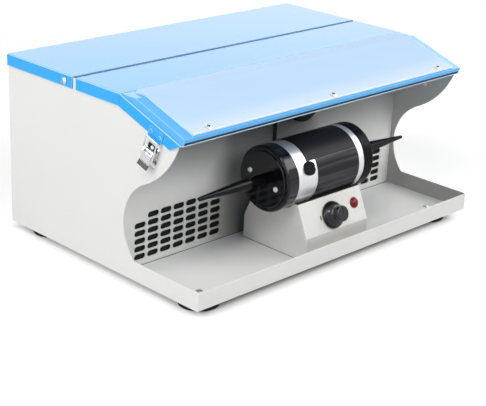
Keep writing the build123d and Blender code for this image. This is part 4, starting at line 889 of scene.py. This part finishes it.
for side, name in SIDES:
    seam_low = np.array([side * LID_SEAM_X, LID_SEAM_DEPTH, LID_SEAM_LOW])
    seam_top = np.array([side * LID_SEAM_X, LID_SEAM_DEPTH, LID_SEAM_TOP])
    add_piece(
        "lid_seam_" + name,
        swept(LID_SEAM, seam_low, seam_top, BACKWARD * side, ACROSS * -side),
        seam_blue, "lid",
    )


# Painted shade in the crossed recesses of the pane's screws: a dark cross fills each

RECESS_LENGTH = 0.0040
RECESS = rounded(width=0.0011, height=0.0005, radius=0.0002)
PANE_SCREW_X = 0.199
PANE_SCREW_SETBACK = 0.008
PANE_SCREW_TOP = 0.0042


def recess_shade_cross(place, across, out):
    """Two low bars, crossed, each a rounded section swept square to the out direction."""
    along = np.cross(out, across)
    bars = []
    for run, wide in ((across, along), (along, -across)):
        half = run * RECESS_LENGTH / 2
        bars.append(swept(RECESS, place - half, place + half, wide, out))
    return joined(bars)


# Painted shade: dark crosses stand for the shade in the screw recesses
screw_middle = VISOR_NOSE + SLOPE_UP * PANE_SCREW_SETBACK - SLOPE_DOWN * PANE_SCREW_TOP
add_piece(
    "pane_screw_recess_shade",
    joined([
        recess_shade_cross(screw_middle + ACROSS * x, ACROSS, -SLOPE_DOWN)
        for x in (-PANE_SCREW_X, 0, PANE_SCREW_X)
    ]),
    lamp_black, "lid",
)


# Latch sleeves: dark sleeves over the bent tabs of both levers

LATCH_PLACE = np.array([0.240, at(77.7), up(160.27)])
LEVER_LOW = 0.0116
LEVER_MIDDLE = 0.0080
TAB_ANGLE = radians(25)
SLEEVE = rounded(width=0.0156, height=0.0026, radius=0.0010)
SLEEVE_START, SLEEVE_END = 0.0003, 0.0058

for side, name in SIDES:
    outward = ACROSS * side
    down_tab = SLOPE_DOWN * cos(TAB_ANGLE) + outward * sin(TAB_ANGLE)
    tab_face = outward * cos(TAB_ANGLE) - SLOPE_DOWN * sin(TAB_ANGLE)
    root = LATCH_PLACE * (side, 1, 1) + SLOPE_DOWN * LEVER_LOW + outward * LEVER_MIDDLE
    add_piece(
        "lever_sleeve_" + name,
        swept(
            SLEEVE, root + down_tab * SLEEVE_START, root + down_tab * SLEEVE_END,
            np.cross(tab_face, down_tab), tab_face,
        ),
        sleeve_grey, "lever_" + name,
    )


# Latch shade pads: painted shade, dark pads in the rubber finish on the latch bases, round the upper rivets,
# under the wire loops

SHADE_PAD = rounded(width=0.0140, height=0.0056, radius=0.0008)
SHADE_PAD_RISE = 0.0060
SHADE_PAD_SEAT = 0.00115
SHADE_PAD_THICKNESS = 0.0007

for side, name in SIDES:
    outward = ACROSS * side
    seat = LATCH_PLACE * (side, 1, 1) - SLOPE_DOWN * SHADE_PAD_RISE + outward * SHADE_PAD_SEAT
    # Painted shade: a dark pad for the shadowed recess seen through the wire loop
    add_piece(
        "latch_shade_pad_" + name,
        swept(SHADE_PAD, seat, seat + outward * SHADE_PAD_THICKNESS, SLOPE_UP * -side, SLOPE_DOWN),
        rubber, "cabinet",
    )


# Dial tick: a raised black mark beside the knob, on the pedestal's sloped panel

PANEL_RUN_MM, PANEL_RISE_MM = 16.5, 38
PANEL_CLIMB = unit((0, PANEL_RUN_MM, PANEL_RISE_MM))
PANEL_OUT = unit((0, -PANEL_RISE_MM, PANEL_RUN_MM))
TICK = rounded(width=0.0016, height=0.0005, radius=0.0002)
TICK_FOOT = np.array([-0.0233, at(14), up(30)])
TICK_LOW, TICK_HIGH = 0.0160, 0.0210

add_piece(
    "dial_tick",
    swept(
        TICK, TICK_FOOT + PANEL_CLIMB * TICK_HIGH, TICK_FOOT + PANEL_CLIMB * TICK_LOW, ACROSS, PANEL_OUT,
    ),
    lamp_black, "cabinet",
)


# Rear: screw heads that hold the fans

FAN_X = 0.115
FAN_HEIGHT = up(95)
FAN_HOLE = 0.0525
FAN_SCREW_RADIUS, FAN_SCREW_HEIGHT = 0.0036, 0.0021
HEAD_RIM = 0.3
HEAD_TURN = 1.25
HEAD_SINK = 0.0001
SOCKET_RADIUS, SOCKET_TOP, SOCKET_FLOOR = 0.30, 0.97, 0.45


def pan_head(place, axis, radius, height):
    """A low screw head, turned: a short rim, then an ellipse whose radius goes as cos t and whose height
    goes as sin t, up to a flat with a socket sunk in it. Rim and socket are shares of the head's size."""
    turn = np.linspace(0, HEAD_TURN, 7)
    dome = np.stack([radius * np.cos(turn), height * (HEAD_RIM + (1 - HEAD_RIM) * np.sin(turn))], 1)
    socket = [(SOCKET_RADIUS * radius, share * height) for share in (SOCKET_TOP, SOCKET_FLOOR)]
    return turned([(radius, -HEAD_SINK), *dome, *socket], place, axis, 28)


fan_places = [
    (side * FAN_X + x, REAR_FACE, FAN_HEIGHT + z)
    for side, _ in SIDES for x in (-FAN_HOLE, FAN_HOLE) for z in (-FAN_HOLE, FAN_HOLE)
]
add_piece(
    "fan_screw_heads",
    joined([pan_head(place, BACKWARD, FAN_SCREW_RADIUS, FAN_SCREW_HEIGHT) for place in fan_places]),
    zinc, "cabinet",
)


# Lead clips on the partition and the grommet in the pedestal

CLIP_HEIGHTS = (up(92), up(54))
CLIP_OUTER, CLIP_INNER = 0.0033, 0.00228
CLIP_FOOT_END, CLIP_FOOT_THICKNESS = 0.0100, 0.0010
CLIP_HALF = 0.0035
CLIP_SCREW_X = 0.0068
CLIP_SCREW_RADIUS, CLIP_SCREW_HEIGHT = 0.0024, 0.0014


def clip_shape(height):
    """A saddle bent over the lead: an arch between two half circles, with straight legs and a flat foot
    on one side, swept along the lead."""
    turn = np.linspace(0, pi, 13)
    arch = np.stack([np.cos(turn), np.sin(turn)], 1)
    lift = (0, PARTITION_FACE - LEAD_Y)
    profile = np.concatenate([
        [(CLIP_FOOT_END, 0), (CLIP_FOOT_END, CLIP_FOOT_THICKNESS), (CLIP_OUTER, CLIP_FOOT_THICKNESS)],
        CLIP_OUTER * arch + lift,
        [(-CLIP_OUTER, 0), (-CLIP_INNER, 0)],
        CLIP_INNER * arch[::-1] + lift,
        [(CLIP_INNER, 0)],
    ])
    middle = np.array([LEAD_X, PARTITION_FACE, height])
    rise = UPWARD * CLIP_HALF
    return swept(profile, middle + rise, middle - rise, ACROSS, -BACKWARD)


def clip_screw(height):
    """The screw head on a clip's foot."""
    place = (LEAD_X + CLIP_SCREW_X, PARTITION_FACE - CLIP_FOOT_THICKNESS, height)
    return pan_head(place, -BACKWARD, CLIP_SCREW_RADIUS, CLIP_SCREW_HEIGHT)


add_piece(
    "lead_clips",
    joined([clip_shape(height) for height in CLIP_HEIGHTS]),
    matt_plastic, "cabinet",
)
add_piece(
    "clip_screws",
    joined([clip_screw(height) for height in CLIP_HEIGHTS]),
    zinc, "cabinet",
)

PEDESTAL_REAR = at(117)
GROMMET_INNER, GROMMET_OUTER = 0.0023, 0.0046
GROMMET_THICKNESS = 0.0018
GROMMET_ROUNDING = 0.45


def grommet(place, axis):
    """A rubber ring: a rounded section turned about the axis and closed on itself."""
    wide = GROMMET_OUTER - GROMMET_INNER
    section = rounded(wide, GROMMET_THICKNESS, GROMMET_ROUNDING * min(wide, GROMMET_THICKNESS))
    middle = ((GROMMET_INNER + GROMMET_OUTER) / 2, GROMMET_THICKNESS / 2)
    return turned(section + middle, place, axis, 32, True)


add_piece(
    "lead_grommet",
    grommet((LEAD_X, PEDESTAL_REAR, LEAD_ENTRY), BACKWARD),
    rubber, "cabinet",
)


# Floor, world and lamps

FLOOR_RADIUS = 4.0
FLOOR_GLOW = 0.36
SHADE_HALF_WIDTH, SHADE_HALF_DEPTH = 0.232, 0.171
SHADE_START, SHADE_END = -0.026, -0.006
GLOW_START, GLOW_END = -0.022, 0.014
FADE_START, FADE_END = 0.55, 1.1


def stage_floor():
    """A flat round floor, with a painted shadow under and just round the machine. Camera rays also get a
    little white from it, held back near the machine so the painted shadow stays dark, and only white far
    from the machine, so that it fades into the backdrop."""
    turn = np.linspace(0, 2 * pi, 97)[:-1]
    rim = FLOOR_RADIUS * np.stack([np.cos(turn), np.sin(turn), np.zeros_like(turn)], 1)
    mesh = bpy.data.meshes.new("floor")
    mesh.from_pydata(rim.tolist(), [], [list(range(len(rim)))])
    floor = bpy.data.objects.new("floor", mesh)
    scene.collection.objects.link(floor)
    f = Finish("pale_floor")
    seen = f.add("ShaderNodeLightPath", output="Is Camera Ray")
    beside = f.axis(0).size() - SHADE_HALF_WIDTH
    before = f.axis(1).size() - SHADE_HALF_DEPTH
    apart = beside.larger(before)
    pale = f.mix(f.noise(300, 3), (0.86, 0.86, 0.86, 1), (0.9, 0.9, 0.9, 1))
    # Painted shadow: the floor's colour darkens under and just round the machine
    painted_shadow = f.mix(apart.above(SHADE_START, SHADE_END), (0.20, 0.20, 0.21, 1), pale)
    matte = f.add("ShaderNodeBsdfDiffuse", None, {"Color": painted_shadow})
    # Painted shadow: camera rays get no white near the machine
    strength = seen * apart.above(GLOW_START, GLOW_END) * FLOOR_GLOW
    glow = f.add("ShaderNodeEmission", None, {"Color": WHITE, "Strength": strength})
    both = f.add("ShaderNodeAddShader", None, {0: matte, 1: glow})
    distance = f.add("ShaderNodeVectorMath", {"operation": "LENGTH"}, {0: f.place}, "Value")
    white = f.add("ShaderNodeEmission", None, {"Color": WHITE, "Strength": 1.0})
    far = distance.above(FADE_START, FADE_END) * seen
    faded = f.add("ShaderNodeMixShader", None, {0: far, 1: both, 2: white})
    f.add("ShaderNodeOutputMaterial", None, {"Surface": faded})
    mesh.materials.append(f.material)


def studio_world():
    """A white backdrop for camera, glossy and transmission rays, and no light for the rest."""
    world = bpy.data.worlds.new("studio")
    w = NodeTree(world)
    seen = w.add("ShaderNodeLightPath", output="Is Camera Ray")
    for ray in ("Is Glossy Ray", "Is Transmission Ray"):
        seen = seen.larger(w.add("ShaderNodeLightPath", output=ray))
    background = w.add("ShaderNodeBackground", None, {"Color": WHITE, "Strength": seen})
    w.add("ShaderNodeOutputWorld", None, {"Surface": background})
    scene.world = world


AIM = Vector((0, 0, up(102)))

# Name, azimuth and elevation in degrees, distance and size in metres, and watts of each softbox
SOFTBOXES = (
    ("left_high", -100, 38, 2.2, (1.4, 1.0), 21),
    ("left_low", -105, 14, 2.2, (1.4, 1.0), 10),
    ("front", 0, 36, 2.2, (1.6, 1.0), 18),
    ("left_strip", -58, 48, 2.1, (0.42, 0.55), 8),
    ("front_right", 42, 36, 2.2, (1.4, 1.0), 17),
    ("right", 90, 30, 2.2, (1.4, 1.0), 6),
    ("back", 134, 20, 2.4, (2.4, 1.5), 6.5),
    ("rear_low", 172, 9, 2.4, (1.6, 0.7), 9),
)


def softbox(name, azimuth, elevation, distance, size, watts):
    """A rectangular lamp that faces the machine from an azimuth and an elevation, unseen by the camera."""
    away = bearing(radians(azimuth), radians(elevation))
    data = bpy.data.lights.new(name, "AREA")
    data.shape = "RECTANGLE"
    data.size, data.size_y = size
    data.energy = watts
    lamp = bpy.data.objects.new(name, data)
    lamp.rotation_euler = away.to_track_quat("Z", "Y").to_euler()
    lamp.location = AIM + away * distance
    lamp.visible_camera = False
    scene.collection.objects.link(lamp)


stage_floor()
studio_world()
for settings in SOFTBOXES:
    softbox(*settings)
